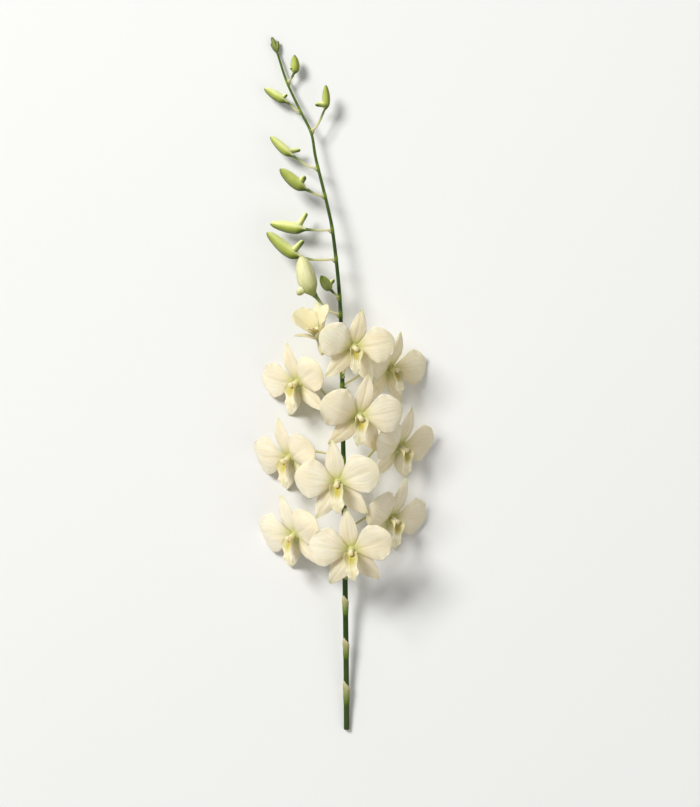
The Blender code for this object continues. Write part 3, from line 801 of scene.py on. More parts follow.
@dataclass(frozen=True)
class Tepal:
    """One sepal or petal.

    Attributes:
        angle: Angle clockwise from the upper sepal.
        length: Length along its midrib.
        width: Half of its width.
        claw: Share of that width at its base.
        widest: Share of the length where it is widest.
        tip: Share of the width at its tip.
        blunt: How far its corners are rounded back.
        base: Height of its base.
        slopes: Slopes at its base and tip.
        bud_slopes: The same slopes while the bloom is a bud.
        fold: Curvature of its cross section.
        wave: Height of the long ripple of its edges.
        ruffle: Height of the short ripple of its edges.
        billow: Height of the broad swells of its face.
        points: Points along it and across it.
        veins: How many veins cross half of it.
        green_tip: How green its tip is.
        green_rib: How green the back of its midrib is.
        thickness: Thickness in its middle.
        thinned: How much thinner its edges are.
        groove: Depth of the groove along its midrib.
        vein_length: Length over which its veins change.
        throat: Width of the green patch at its base.
    """

    angle: float
    length: float
    width: float
    claw: float
    widest: float
    tip: float
    blunt: float
    base: float
    slopes: tuple[float, float]
    bud_slopes: tuple[float, float]
    fold: float
    wave: float
    ruffle: float
    billow: float
    points: tuple[int, int]
    veins: float
    green_tip: float
    green_rib: float
    thickness: float = 0.8
    thinned: float = 0.5
    groove: float = 0.35
    vein_length: float = 48.0
    throat: float = 6.5

    def share_of_width(self, u: Array) -> Array:
        """Gives the outline.

        Args:
            u: Places from 0 at the base to 1 at the tip.

        Returns:
            Share of the half width, which rises by the power 1.4 of a quarter of a sine from the
            claw to 1, and falls by the power 1.6 of the distance to the tip.
        """
        opening = np.sin(0.5 * math.pi * np.clip(u / self.widest, 0, 1)) ** 1.4
        closing = (np.clip(u - self.widest, 0, 1) / (1 - self.widest)) ** 1.6
        rising, falling = self.claw + (1 - self.claw) * opening, 1 - (1 - self.tip) * closing
        return np.where(u < self.widest, rising, falling)

    def surface(self, bloom: BloomPlace, wobble: Array, draws: Array) -> Surface:
        """Builds the blade.

        Args:
            bloom: The bloom that it belongs to.
            wobble: Draws from -1 to 1 for its length, two slopes, and long ripple with width.
            draws: Draws from 0 to 1 for its short ripple, veins, and tone with angle.

        Returns:
            The blade in the bloom's frame. Its edges carry a long ripple, a sine of 1.1 turns
            times u and v squared, and a short one of about 4 turns times v to the fourth, which
            also moves its outline in and out by 1.2%. Its face swells by a sine of 5.5 u and 2.8
            v. A groove follows its midrib, and it thins towards its edges. The draws change its
            length by 3%, its width by 5%, its slopes by 4 and 6 degrees and its angle by up to 4.
            In a bud it is a quarter narrower, and its edges close round the bloom's axis.
        """
        u, v = grid(*self.points)
        closed = bloom.closed
        length = self.length * bloom.size * (1 + 0.03 * wobble[0])
        width = self.width * bloom.size * (1 + 0.05 * wobble[3]) * (1 - 0.25 * closed)
        angle = self.angle + 3.0 * wobble[1] * wobble[2] + 2.0 * (draws[2] - 0.5)
        slopes = np.array(self.slopes)
        slopes = slopes + closed * (self.bud_slopes - slopes) + (4.0, 6.0) * wobble[1:3]
        midrib = Midrib(length, TEPAL_START, self.base, *slopes)
        distance = length * u * (1 - self.blunt * (u * v) ** 2)
        short = 2 * math.pi * (3.6 + draws[0]) * u + 9.0 * draws[0] + 2.1 * np.sign(v)
        waver = 1 + 0.012 * np.abs(v) ** 3 * np.sin(short + 1.3) * ramp(u, 0.2, 0.5)
        reach = v * width * self.share_of_width(u) * waver

        radius, _, slope = midrib.at(distance)
        closing = min(1.0, 1.4 * closed) * np.sin(slope) / np.maximum(radius, TEPAL_START)
        fold = self.fold + closing
        fold = np.where(np.abs(fold) < FLAT, FLAT, fold)
        phase = 2.2 * math.pi * u + math.pi * wobble[3] + 1.2 * np.sign(v)
        groove = bell(reach, 0.0, 1.1) * ramp(u, 0.05, 0.25) * (1 - ramp(u, 0.7, 0.95))
        swell = np.sin(5.5 * u + 2.8 * v + 12.0 * draws[1])
        lift = self.wave * bloom.opening * np.sin(phase) * u * v**2
        lift = lift + self.ruffle * np.sin(short) * ramp(u, 0.15, 0.5) * v**4
        lift = lift + self.billow * bloom.opening * swell * ramp(u, 0.15, 0.55)
        lift = lift - self.groove * groove
        middle, normal = midrib.section(angle, distance, reach, fold, lift)

        thickness = self.thickness - self.thinned * np.maximum(np.abs(v) ** 3, u**8)
        along = distance / self.vein_length
        grain = np.stack([v * self.veins, 0.4 * u + 20.0 * draws[1], along], axis=-1)
        throat = bell(distance, 0.0, self.throat) * 0.8
        tip = self.green_tip * ramp(u, 0.82, 1.0)
        rib = self.green_rib * bell(reach, 0.0, 2.4) * (1 - 0.6 * u)
        tone = 0.6 * draws[2] + 0.35 * np.maximum(np.abs(v) ** 6, u**10)
        front = painted(throat + 0.10 * closed, 0.10 * groove + tip + 0.25 * closed, tone)
        back = painted(throat, rib + tip + 0.35 * closed, tone)
        return blade(middle, normal, thickness, grain, front, back)


SEPAL = Tepal(
    angle=0.0, length=31.0, width=7.0, claw=0.55, widest=0.42, tip=0.18, blunt=0.03,
    base=-0.6, slopes=(20.0, -14.0), bud_slopes=(88.0, 66.0), fold=-0.015,
    wave=0.6, ruffle=0.12, billow=0.25,
    points=(38, 22), veins=4.5, green_tip=0.55, green_rib=0.6,
)
LOW_SEPAL = replace(
    SEPAL, length=29.0, width=7.8, claw=0.62, widest=0.40, base=-1.4, slopes=(12.0, -18.0)
)
PETAL = Tepal(
    angle=72.0, length=31.0, width=15.5, claw=0.17, widest=0.60, tip=0.62, blunt=0.12,
    base=0.4, slopes=(34.0, -20.0), bud_slopes=(96.0, 84.0), fold=-0.012,
    wave=1.4, ruffle=0.35, billow=0.7,
    points=(44, 32), veins=7.5, green_tip=0.1, green_rib=0.15,
)
# In the order in which their draws are made
TEPALS = (
    SEPAL,
    replace(LOW_SEPAL, angle=143.0),
    replace(LOW_SEPAL, angle=-143.0),
    PETAL,
    replace(PETAL, angle=-72.0),
)


def turned_profile(profile: Pairs, offset: float, sides: int, masks: Array) -> Surface:
    """Turns a profile about the bloom's axis.

    Args:
        profile: Height and radius, from the lowest ring to the highest.
        offset: How far the axis is set off towards the upper sepal.
        sides: Sides of the round.
        masks: Masks for its rings.

    Returns:
        A closed round body whose profile is a smooth curve through the given rings.
    """
    heights = np.linspace(profile[0][0], profile[-1][0], len(masks))
    line = np.stack([np.zeros_like(heights), np.full_like(heights, offset), heights], axis=-1)
    return tube(line, through(profile, heights), masks, sides, seam=RIGHT, streak=0.35)


@dataclass(frozen=True)
class Bloom:
    """One bloom: three sepals, two petals and the middle from which they grow.

    Attributes:
        place: Where and how it sits.
        core: Height and radius of the middle, from its stalk to its face.
        chin: Distance, place and radius along the blunt spur behind the lower sepals.
        rings: Rings of the middle, and of the chin.
        sides: Sides of the middle and of the chin.
        seeds: What its number is added to for its two tables of random draws.
    """

    place: BloomPlace
    core: Pairs = ((-BLOOM_DEPTH, 1.8), (-4.6, 3.3), (-1.0, 4.3), (1.0, 3.4))
    chin: tuple[tuple[float, ...], ...] = (
        (0.0, 0.0, -1.0, -2.0, 3.3),
        (1.0, 0.0, -5.5, -4.6, 3.0),
        (2.0, 0.0, -8.8, -8.2, 2.1),
        (3.0, 0.0, -9.6, -10.6, 0.9),
    )
    rings: int = 22
    sides: tuple[int, int] = (28, 24)
    seeds: tuple[int, int] = (21, 400)

    def surface(self) -> Surface:
        """Builds the bloom in the frame of the stem.

        Returns:
            Blades, middle and chin. The draws for the blades come from two seeds for each bloom.
        """
        first, second = (np.random.default_rng(seed + self.place.number) for seed in self.seeds)
        wobbles = first.uniform(-1, 1, size=(len(TEPALS), 4))
        draws = second.uniform(0, 1, size=(len(TEPALS), 3))
        shapes = [tepal.surface(self.place, w, d) for tepal, w, d in zip(TEPALS, wobbles, draws)]
        reach = np.linspace(0, 1, self.rings)
        green = 0.25 + 0.6 * ramp(reach, 0.6, 1.0)
        masks = painted(green, 0.8 * (1 - ramp(reach, 0.0, 0.6)), 0.3)
        shapes.append(turned_profile(self.core, 0.0, self.sides[0], masks))
        chin = through(self.chin, np.linspace(0, 3, self.rings))
        masks = painted(0.15 * ramp(reach, 0.7, 1.0), 0.35 + 0.35 * ramp(reach, 0.4, 1.0), 0.3)
        shapes.append(tube(chin[:, :3], chin[:, 3], masks, self.sides[1], seam=RIGHT))
        return self.place.placed(shapes)


@dataclass(frozen=True)
class Lip:
    """Lip and column of one bloom.

    Attributes:
        place: Where and how the bloom sits.
        length: Length of the lip along its midrib.
        foot: Distance of its base from the bloom's axis, and height of its base.
        slopes: Slopes at its base and tip.
        bud_slope: Slope at its tip while the bloom is a bud.
        half_widths: Share of its length and half width there.
        folds: Share of its length and curvature of its cross section there.
        column: Height and radius of the column.
        column_offset: How far the column is set off towards the upper sepal.
        keels: Distances of the raised keels from the midrib.
        keel_height: Height of the keels on the front.
        keel_width: Width of a keel.
        thickness: Thickness in its middle.
        thinned: How much thinner its edges are.
        wave: Height of the ripple of its lobe.
        waves: Turns of that ripple from base to tip.
        points: Points along it and across it.
        vein_length: Length over which its veins change.
    """

    place: BloomPlace
    length: float = 24.0
    foot: tuple[float, float] = (0.8, 2.0)
    slopes: tuple[float, float] = (76.0, -8.0)
    bud_slope: float = 62.0
    half_widths: Pairs = (
        (0.0, 2.4), (0.15, 6.2), (0.28, 8.0), (0.43, 5.4),
        (0.57, 4.0), (0.72, 5.2), (0.86, 3.6), (1.0, 0.9),
    )
    folds: Pairs = ((0.0, 0.20), (0.3, 0.19), (0.55, 0.10), (0.75, 0.03), (1.0, 0.02))
    column: Pairs = ((1.3, 2.5), (3.0, 2.2), (7.0, 1.5), (8.6, 2.0), (9.8, 1.2), (10.05, 0.25))
    column_offset: float = 0.6
    keels: tuple[float, ...] = (-1.5, 0.0, 1.5)
    keel_height: float = 0.5
    keel_width: float = 0.42
    thickness: float = 0.75
    thinned: float = 0.4
    wave: float = 0.45
    waves: float = 5.0
    points: tuple[int, int] = (64, 34)
    vein_length: float = 36.0

    def blade(self) -> Surface:
        """Builds the lip.

        Returns:
            A channel round the column that narrows to a waist and widens to a pointed lobe. Keels
            run down its throat, and the edge of the lobe is waved by a sine of five turns. It
            closes to half its width as a bud.
        """
        u, v = grid(*self.points)
        closed, size = self.place.closed, self.place.size
        rise, fall = self.slopes
        fall = fall + closed * (self.bud_slope - fall)
        midrib = Midrib(self.length * size, *self.foot, rise, fall)
        widths = through(self.half_widths, u[:, 0]) * size * (1 - 0.5 * closed)
        reach = v * widths[:, None]
        fold = np.broadcast_to(through(self.folds, u[:, 0])[:, None] + FLAT, u.shape)
        waved = self.wave * np.sin(2 * math.pi * self.waves * u + 1.5 * np.sign(v))
        waved = waved * ramp(u, 0.5, 0.75) * np.abs(v) ** 3
        distance = self.length * size * u
        middle, normal = midrib.section(180.0, distance, reach, fold, waved)
        ridge = sum(bell(reach, keel, self.keel_width) for keel in self.keels)
        ridge = ridge * ramp(u, 0.06, 0.2) * (1 - ramp(u, 0.5, 0.68))
        middle = middle + normal * (self.keel_height / 2 * ridge)[..., None]
        thickness = self.thickness - self.thinned * np.maximum(np.abs(v) ** 3, u**8)
        thickness = thickness + self.keel_height * ridge
        along = distance / self.vein_length
        grain = np.stack([v * 5.0, 0.3 * u + 3.0 * self.place.number, along], axis=-1)
        throat = (1 - ramp(u, 0.34, 0.66)) * (0.35 + 0.65 * bell(reach, 0.0, 3.6))
        lobe = 0.25 * bell(u, 0.78, 0.12) * bell(reach, 0.0, 1.6)
        front = painted(throat + lobe, 0.8 * ridge * (1 - ramp(u, 0.4, 0.6)), 0.2)
        return blade(middle, normal, thickness, grain, front, painted(0.55 * throat, 0.2, 0.2))

    def surface(self) -> Surface:
        """Builds lip and column in the frame of the stem.

        Returns:
            The lip, and a round column that ends in a paler cap and is slimmer in a bud.
        """
        shrink = 1.0 - 0.28 * self.place.closed
        profile = tuple((height, radius * shrink) for height, radius in self.column)
        reach = np.linspace(0, 1, 40)
        masks = painted(0.55 * (1 - ramp(reach, 0.1, 0.6)), 0.3 * ramp(reach, 0.8, 0.9), 0.1)
        column = turned_profile(profile, self.column_offset, 24, masks)
        return self.place.placed([self.blade(), column])


@dataclass(frozen=True)
class Bud:
    """One closed bud with its spur.

    Attributes:
        name: Name of the bud.
        node_at: Distance along the stem where its stalk leaves.
        elbow: Where its stalk bends into the bud.
        tip: Its tip.
        spur: End of its spur.
        radius: Half width of its body.
        spur_radius: Half width of its spur.
        finish: Its finish.
        shade: Strength of its painted light and shade: greener as painted shade on the side away
            from
        the light, paler as a painted highlight on the side facing it.
        green_to: Place along it at which the green of its stalk has faded out.
        shares: Place along the body and share of its half width there.
        spur_shares: Share of the spur's length and of its half width there.
        seams: Angles at which its sepals meet, in radians.
        seam_width: Width of a seam, in radians.
        seam_depth: Depth of a seam, as a share of the radius.
        sides: Sides of its body.
    """

    name: str
    node_at: float
    elbow: Point
    tip: Point
    spur: Point
    radius: float
    spur_radius: float
    finish: Finish = Finish.BUD_GREEN
    shade: float = 0.8
    green_to: float = 2.6
    shares: Pairs = ((2.0, 0.86), (3.0, 1.0), (4.0, 0.96), (5.0, 0.80), (6.0, 0.52), (7.0, 0.42))
    spur_shares: Pairs = ((0.0, 1.7), (0.4, 1.2), (0.85, 0.92), (1.0, 0.8))
    seams: tuple[float, ...] = (0.6, 2.7, 4.8)
    seam_width: float = 0.20
    seam_depth: float = 0.07
    sides: int = 36

    @property
    def foot(self) -> float:
        """Radius at the bottom of the bud and at the top of its stalk."""
        return max(0.95, self.radius * 0.3)

    def seat(self) -> Seat:
        """Places the end of its stalk.

        Returns:
            A seat at the elbow, between the way of the stalk and the way of the bud.
        """
        node, _ = STEM_LINE.frame_at(self.node_at)
        elbow = np.array(self.elbow)
        heading = unit(unit(elbow - node) + 0.5 * unit(np.array(self.tip) - elbow))
        top = elbow - heading * (self.radius * 0.9 + GAP)
        return Seat(elbow, (1.0, 0.0), top, heading, self.foot)

    def surface(self) -> Surface:
        """Builds the bud in the frame of the stem.

        Returns:
            A body whose three sepals meet in shallow seams, and its spur. The body starts
            straight, bends along the curve of its stalk from w = 1 and tapers to a blunt point at
            w = 7. Its seams are bell curves of the angle from each.
        """
        seat = self.seat()
        heading, start = seat.heading, seat.top + seat.heading * GAP
        elbow, tip, spur = np.array(self.elbow), np.array(self.tip), np.array(self.spur)
        tapering = 6 + np.sin(0.5 * math.pi * np.linspace(0, 1, 12))
        w = np.concatenate([np.linspace(0, 6, 59, endpoint=False), tapering])
        body = stalk_curve(start + heading * 0.5, heading, tip, tip - elbow, (w - 1) / 6)
        line = np.where((w < 1)[:, None], start + heading * 0.5 * w[:, None], body)
        foot = self.foot / self.radius
        radii = through(((0.0, foot), (1.0, foot), *self.shares), w) * self.radius
        full = 2 * math.pi
        offsets = [(around(self.sides) - seam + math.pi) % full - math.pi for seam in self.seams]
        seams = sum(bell(offset, 0.0, self.seam_width) for offset in offsets)
        depth = (ramp(w, 2.0, 3.5) * (1 - 0.5 * ramp(w, 6.0, 7.0)))[:, None]
        shaped = radii[:, None] * (1 - self.seam_depth * depth * seams)
        ends = 0.85 * (1 - ramp(w, 0.8, self.green_to)) + 0.5 * ramp(w, 5.6, 7.0)
        belly = 0.12 * bell(w, 4.0, 1.5)[:, None] * (1 - seams)
        masks = painted(ends[:, None] + 0.22 * depth * seams, belly, 0.2)
        # The skin's shade paints light and shade onto the bud: a painted highlight on the side
        # facing the light, painted shade on the side away
        skin = {"seam": (0.2, 0.1, 1.0), "draw": self.node_at / 7.0, "shade": self.shade}
        nose = self.radius * 0.9
        shapes = [tube(line, shaped, masks, self.sides, streak=1.1, nose=nose, **skin)]

        root = elbow + (tip - elbow) * 0.14
        reach = stretches((0.0, 0.8, 0.97, 1.0), (11, 5, 4))
        masks = painted(0.1 + 0.5 * ramp(reach, 0.5, 1.0), 0.2 * bell(reach, 0.35, 0.3), 0.2)
        radii = through(self.spur_shares, reach) * self.spur_radius
        line = root + (spur - root) * reach[:, None]
        shapes.append(tube(line, radii, masks, 20, nose=self.spur_radius * 0.9, **skin))
        return Surface.joined(shapes)


BUDS = (
    Bud(
        "bud_h", 340.0, (-30.0, 360.5, 31.0), (-36.5, 387.0, 34.0), (-40.0, 355.5, 34.0), 7.8, 3.2,
        Finish.BUD_CREAM, shade=0.35, green_to=3.9,
    ),
    Bud("bud_i", 354.0, (-14.5, 361.0, 33.0), (-20.5, 370.0, 43.0), (-10.0, 367.5, 37.0), 4.2, 1.8),
    Bud("bud_a", 385.0, (-41.0, 387.5, 22.0), (-64.8, 406.5, 23.0), (-35.0, 399.5, 27.0), 5.2, 2.2),
    Bud("bud_b", 409.0, (-37.2, 409.5, 17.0), (-62.3, 414.2, 16.0), (-32.5, 423.0, 14.5), 4.9, 2.1),
    Bud("bud_c", 437.0, (-36.3, 443.2, 21.0), (-54.1, 457.8, 25.0), (-33.5, 452.0, 25.0), 5.1, 2.3),
    Bud("bud_d", 460.0, (-46.5, 471.1, 14.0), (-62.3, 485.7, 12.0), (-37.7, 474.9, 10.5), 3.9, 1.8),
    Bud("bud_e", 490.0, (-17.3, 509.0, 15.0), (-16.8, 526.8, 18.0), (-25.6, 511.0, 18.0), 3.3, 1.9),
    Bud("bud_f", 507.0, (-51.5, 515.4, 10.0), (-67.4, 525.4, 9.0), (-48.5, 520.0, 12.5), 3.9, 1.6),
    Bud("bud_g", 531.0, (-42.2, 540.0, 9.0), (-42.6, 552.5, 11.0), (-46.2, 541.5, 11.5), 3.8, 1.4),
)


@dataclass(frozen=True)
class TipBuds:
    """The unopened buds crowded at the very tip of the stem.

    Attributes:
        buds: Sideways spread, length and half width of each.
        shares: Share of a bud's length and of its half width there.
        sides: Sides of each.
    """

    buds: tuple[Point, ...] = ((-0.02, 13.5, 2.1), (0.42, 9.5, 1.7), (-0.3, 9.0, 1.6))
    shares: Pairs = ((0.0, 0.6), (0.35, 1.0), (0.7, 0.85), (1.0, 0.45))
    sides: int = 16

    def surface(self) -> Surface:
        """Builds the cluster in the frame of the stem.

        Returns:
            A short base and one small tapered body for each bud.
        """
        point, direction = STEM_LINE.frame_at(STEM_LINE.places[-1][1])
        side = unit(np.cross(direction, UP))
        start = point + direction * GAP
        reach = np.linspace(0, 1, 22)
        base = start + direction * (3.1 * reach - 0.6)[:, None]
        shapes = [tube(base, 0.9 + 0.3 * reach, painted(0 * reach + 0.8, 0.0, 0.3), self.sides)]
        for number, (spread, length, radius) in enumerate(self.buds):
            reach = stretches((0.0, 0.85, 1.0), (15, 7))
            way = unit(direction + side * spread)
            line = start + direction * 1.6 + way * length * reach[:, None]
            masks = painted(0.75 + 0.2 * ramp(np.abs(reach - 0.5), 0.2, 0.5), 0.0, 0.0)
            radii = through(self.shares, reach) * radius
            # The shade paints a faint highlight on the side facing the light and painted shade on
            # the side away
            skin = {"draw": float(number), "shade": 0.3, "nose": 1.4}
            shapes.append(tube(line, radii, masks, self.sides, **skin))
        return Surface.joined(shapes)


@dataclass(frozen=True)
class Stem:
    """The stem with its sheaths and scales, the flower stalks and the cut face.

    Attributes:
        rings: Rings of the stem.
        sides: Sides of the stem.
        swell: Share by which the stem swells at each stalk and sheath.
        swell_width: Width of a swelling.
        sheaths: Distance along the stem and length of each papery sheath.
        sheath_profile: Share of a sheath's length and how far it stands off the stem there.
        slant: How far the short side of a sheath's free end is drawn back.
        ribs: Ribs round a sheath.
        rib_height: Height of a rib.
        stalk_radius: Radius of a flower stalk.
        stalk_sides: Sides of a flower stalk.
        groove_depth: Depth of the three grooves of an ovary, as a share of its radius.
        overrun: How far a stalk runs into its flower.
        face_proud: How far the cut face stands proud of the rind.
    """

    rings: int = 340
    sides: int = 24
    swell: float = 0.12
    swell_width: float = 2.4
    sheaths: Pairs = ((24.0, 17.0), (62.0, 15.0), (98.0, 14.0))
    sheath_profile: Pairs = ((0.0, -0.4), (0.05, 0.30), (0.5, 0.40), (0.97, 0.75), (1.0, -0.4))
    slant: float = 8.0
    ribs: int = 16
    rib_height: float = 0.06
    stalk_radius: float = 0.95
    stalk_sides: int = 18
    groove_depth: float = 0.08
    overrun: float = 0.7
    face_proud: float = 0.15

    def rind(self) -> Surface:
        """Builds the stem itself.

        Returns:
            A tube that swells at each stalk and sheath, greener and brighter there and towards
            its tip.
        """
        along = np.linspace(0.0, STEM_LINE.places[-1][1], self.rings)
        joints = [flower.node_at for flower in BLOOMS + BUDS] + [start for start, _ in self.sheaths]
        nodes = sum(bell(along, joint, self.swell_width) for joint in joints)
        radii = STEM_LINE.radius_at(along) * (1 + self.swell * nodes)
        young = 0.30 * ramp(along, 330.0, 545.0)
        masks = painted(young + 0.55 * nodes, 0.3 * (1 - ramp(along, 0.0, 120.0)), 0.0)
        return tube(STEM_LINE.at(along), radii, masks, self.sides, streak=2.2)

    def sheath(self, along: float, length: float) -> Surface:
        """Builds one papery sleeve round the stem.

        Args:
            along: Distance along the stem of its lower end.
            length: Its length on its long side.

        Returns:
            A ribbed sleeve, tight at its lower end. Its free end stands off a little and slants
            to a point: each place is drawn back by the slant times the power 0.8 of its turn from
            the long side, as a share of half a turn.
        """
        reach = stretches((0.0, 0.05, 0.97, 1.0), (3, 23, 2))
        places, turns = along + length * reach, around(3 * self.ribs)
        off = STEM_LINE.radius_at(places) + np.interp(reach, *np.transpose(self.sheath_profile))
        ribbed = ramp(reach, 0.05, 0.3) * (reach < 0.98)
        radii = off[:, None] + self.rib_height * np.cos(self.ribs * turns) * ribbed[:, None]
        masks = painted(0.85 * (1 - ramp(reach, 0.0, 0.7)), 0.8 * ramp(reach, 0.6, 0.95), 0.2)
        seam = UP + RIGHT * 0.9 * math.sin(along)
        sides = len(turns)
        sleeve = tube(STEM_LINE.at(places), radii, masks, sides, seam=seam, streak=2.0, draw=along)
        back = self.slant * (np.minimum(turns, 2 * math.pi - turns) / math.pi) ** 0.8
        drawn = back * ramp(reach, 0.1, 0.97)[:, None]
        sleeve.points[:-2] -= drawn.reshape(-1, 1) * STEM_LINE.frame_at(along)[1]
        return sleeve

    def scale(self, node_at: float, outward: Array) -> Surface:
        """Builds a small pointed scale on the stem, under a flower stalk.

        Args:
            node_at: Distance along the stem.
            outward: Direction in which the stalk leaves.

        Returns:
            A flat drop with a pointed end, on a curve that leaves the stem's surface 3.6 mm below
            the stalk and bends out along the stalk's lower side. Its section is an ellipse.
        """
        point, direction = STEM_LINE.frame_at(node_at)
        radius = STEM_LINE.radius_at(node_at)
        start, bend, end = (
            point - direction * below + outward * (radius + out)
            for below, out in ((3.6, -0.5), (1.9, 0.5), (0.7, 2.6))
        )
        t = np.linspace(0, 1, 18)[:, None]
        line = (1 - t) ** 2 * start + 2 * (1 - t) * t * bend + t**2 * end
        turns = around(16)
        wide = 0.3 + 1.25 * np.sqrt(np.clip(t / 0.35, 0, 1)) * (1 - ramp(t, 0.3, 1.0))
        thick = 0.2 + 0.35 * wide
        radii = 1 / np.sqrt((np.cos(turns) / thick) ** 2 + (np.sin(turns) / wide) ** 2)
        masks = painted(0.6 * (1 - t), 0.5 * ramp(t, 0.5, 1.0), 0.2)
        return tube(line, radii, masks, len(turns), seam=outward, streak=2.0, draw=node_at)

    def stalk(self, node_at: float, leaving: Array, seat: Seat) -> Surface:
        """Builds one flower stalk.

        Args:
            node_at: Distance along the stem.
            leaving: Direction in which it leaves the stem.
            seat: Its end under the flower.

        Returns:
            A thin tube that swells over its last 45% to a three-grooved ovary and runs into the
            flower: cream by the stem and green at the ovary.
        """
        node, _ = STEM_LINE.frame_at(node_at)
        past = 1 + self.overrun / STRAIGHT * (1 - KNEE)
        w = stretches((0.0, KNEE, 1.0, past), (33, 5, 1))
        line = stalk_curve(node, leaving, seat.top, seat.heading, w)
        swell = np.clip((w - 0.55) / 0.45, 0, 1) ** 1.3
        slim = min(self.stalk_radius, 0.85 * STEM_LINE.radius_at(node_at))
        radii = (slim + (seat.radius - slim) * swell) * (0.55 + 0.45 * ramp(w, 0.0, 0.07))
        grooves = swell[:, None] * (0.5 + 0.5 * np.cos(3 * around(self.stalk_sides)))
        shaped = radii[:, None] * (1 - self.groove_depth * grooves)
        masks = painted(0.9 * ramp(w, 0.45, 0.85), 0.7 * (1 - ramp(w, 0.2, 0.5)), 0.1)
        skin = {"seam": (0.3, 0.2, 1.0), "streak": 2.0, "draw": node_at / 5.0}
        return tube(line, shaped, masks, self.stalk_sides, **skin)

    def stalks_and_scales(self) -> tuple[Surface, Surface]:
        """Builds every flower stalk, and the scale under each.

        Returns:
            One surface for the stalks and one for the scales.
        """
        stalks, scales = [], []
        for flower in BLOOMS + BUDS:
            node, direction = STEM_LINE.frame_at(flower.node_at)
            seat = flower.seat()
            away = seat.aim - node
            outward = unit(away - direction * (away @ direction))
            leaving = outward * seat.leaving[0] + direction * seat.leaving[1]
            stalks.append(self.stalk(flower.node_at, leaving, seat))
            scales.append(self.scale(flower.node_at, outward))
        return Surface.joined(stalks), Surface.joined(scales)

    def cut_face(self) -> Surface:
        """Builds the cut face.

        Returns:
            A thin disc on the cut end, proud of the rind: pale pith with a greener rim.
        """
        _, direction = STEM_LINE.frame_at(1.0)
        line = STEM_LINE.at(0.0) + direction * np.array([-self.face_proud, 0.0, 0.4])[:, None]
        radii = STEM_LINE.radius_at(0.0) * np.array([0.86, 0.97, 0.97])
        return tube(line, radii, painted(np.array([0.25, 0.9, 1.0]), 0.0, 0.2), 32, streak=3.0)

    def make(self, workshop: Workshop) -> None:
        """Makes the pieces of the stem.

        Args:
            workshop: Makes and dresses them.
        """
        stalks, scales = self.stalks_and_scales()
        sheaths = Surface.joined([self.sheath(along, length) for along, length in self.sheaths])
        for name, surface, finish in (
            ("stem_rind", self.rind(), Finish.STEM),
            ("flower_stalks", stalks, Finish.STALK),
            ("scales", scales, Finish.PAPERY),
            ("sheaths", sheaths, Finish.PAPERY),
            ("cut_face", self.cut_face(), Finish.PITH),
        ):
            workshop.finish_piece(name, surface, finish, "stem")


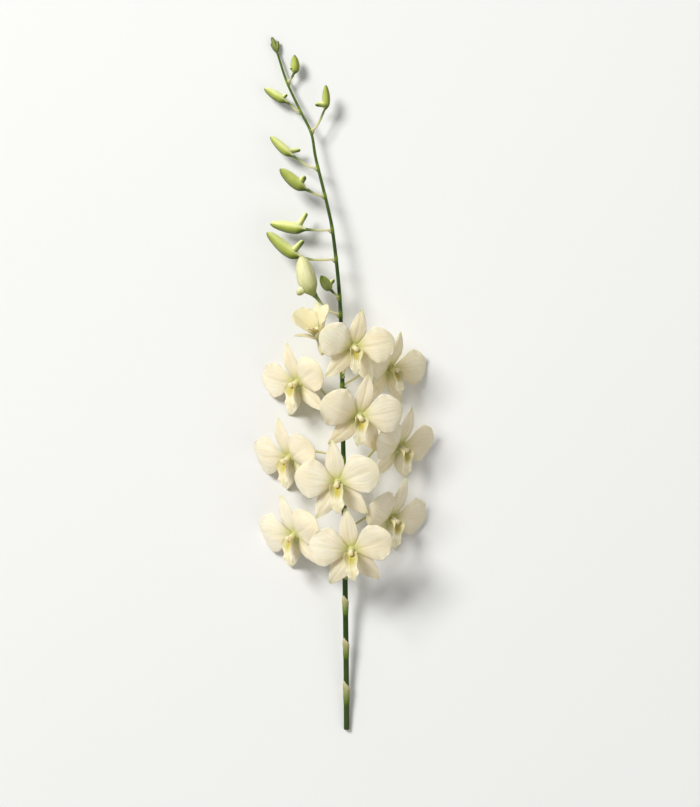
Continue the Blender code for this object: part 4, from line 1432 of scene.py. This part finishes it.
@dataclass(frozen=True)
class Studio:
    """Floor, soft lights and camera.

    Attributes:
        middle: The point, in metres, that the camera looks down on.
        height: Height of the camera over it, in metres.
        view_height: Height of the picture at the stem, in metres.
        floor_colour: Colour of the floor.
        floor_drift: Colour that the floor drifts to.
        floor_reach: Distance of the floor's edges from its middle, in metres.
        lights: Name, place, size and power of each light.
        sky_lights: Strength of the sky as a light.
        sky_seen: Strength of the sky past the floor's edge, where it shows as a pale wall.
    """

    middle: Point = (0.0048, -0.0170, 0.025)
    height: float = 1.8
    view_height: float = 0.6546
    floor_colour: str = "#F0F0ED"
    floor_drift: str = "#EBEBE8"
    floor_reach: float = 2.5
    lights: tuple[tuple[str, Point, float, float], ...] = (
        ("key_light", (-3.1, 2.8, 4.4), 2.0, 350.0),
        ("fill_light", (3.0, -1.8, 3.2), 3.2, 30.0),
    )
    sky_lights: float = 0.30
    sky_seen: float = 0.78

    def make_camera(self) -> None:
        """Makes the camera, straight above the stem, with the stem's tip towards the top."""
        data = bpy.data.cameras.new("camera")
        data.sensor_fit = "AUTO"
        data.sensor_width = 36.0
        data.lens = data.sensor_width * self.height / self.view_height
        data.clip_start, data.clip_end = 0.01, 20.0
        camera = new_object("camera", data)
        camera.location = Vector(self.middle) + Vector((0.0, 0.0, self.height))
        bpy.context.scene.camera = camera

    def make_floor(self) -> None:
        """Makes the floor: pale matt card that only just varies in tone."""
        mesh = bpy.data.meshes.new("floor")
        signs = ((-1, -1), (1, -1), (1, 1), (-1, 1))
        corners = [(x * self.floor_reach, y * self.floor_reach, 0.0) for x, y in signs]
        mesh.from_pydata(corners, [], [(0, 1, 2, 3)])
        material = bpy.data.materials.new("matt_card")
        tree = empty_tree(material)
        place = add_node(tree, "TexCoord", {})["Object"]
        drift = add_node(tree, "TexNoise", {"Scale": 3.0, "Vector": place})["Fac"]
        colour = layered(tree, self.floor_colour, ((self.floor_drift, drift, 0.5),))
        settings = {"Base Color": colour, "Roughness": 0.8}
        card = add_node(tree, "BsdfPrincipled", settings)["BSDF"]
        add_node(tree, "OutputMaterial", {"Surface": card})
        mesh.materials.append(material)
        new_object("floor", mesh)

    def make_lights(self) -> None:
        """Makes a large soft key light, a fill opposite it and a pale sky."""
        for name, place, size, power in self.lights:
            data = bpy.data.lights.new(name, "AREA")
            data.size, data.energy = size, power
            light = new_object(name, data)
            light.location = Vector(place)
            light.rotation_euler = (-Vector(place)).to_track_quat("-Z", "Y").to_euler()
        world = bpy.data.worlds.new("sky")
        tree = empty_tree(world)
        seen = add_node(tree, "LightPath", {})["Is Camera Ray"]
        settings = {"To Min": self.sky_lights, "To Max": self.sky_seen, "Value": seen}
        strength = add_node(tree, "MapRange", settings)["Result"]
        settings = {"Color": (1.0, 1.0, 1.0, 1.0), "Strength": strength}
        sky = add_node(tree, "Background", settings)["Background"]
        add_node(tree, "OutputWorld", {"Surface": sky})
        bpy.context.scene.world = world

    def make(self) -> None:
        """Makes everything round the spray."""
        self.make_camera()
        self.make_floor()
        self.make_lights()
        bpy.context.scene.view_settings.view_transform = "Standard"


def main() -> None:
    """Builds the spray from its stem outwards, then the studio."""
    logging.basicConfig(level=logging.INFO, format="%(name)s: %(message)s")
    workshop = Workshop()
    Stem().make(workshop)
    for place in BLOOMS:
        bloom, lip = f"bloom_{place.number}", f"lip_{place.number}"
        workshop.finish_piece(f"{bloom}_tepals", Bloom(place).surface(), Finish.PETAL, bloom)
        workshop.finish_piece(f"{lip}_and_column", Lip(place).surface(), Finish.LIP, lip)
    for bud in BUDS:
        workshop.finish_piece(f"{bud.name}_skin", bud.surface(), bud.finish, bud.name)
    workshop.finish_piece("tip_buds_skin", TipBuds().surface(), Finish.BUD_GREEN, "tip_buds")
    Studio().make()


if __name__ == "__main__":
    main()
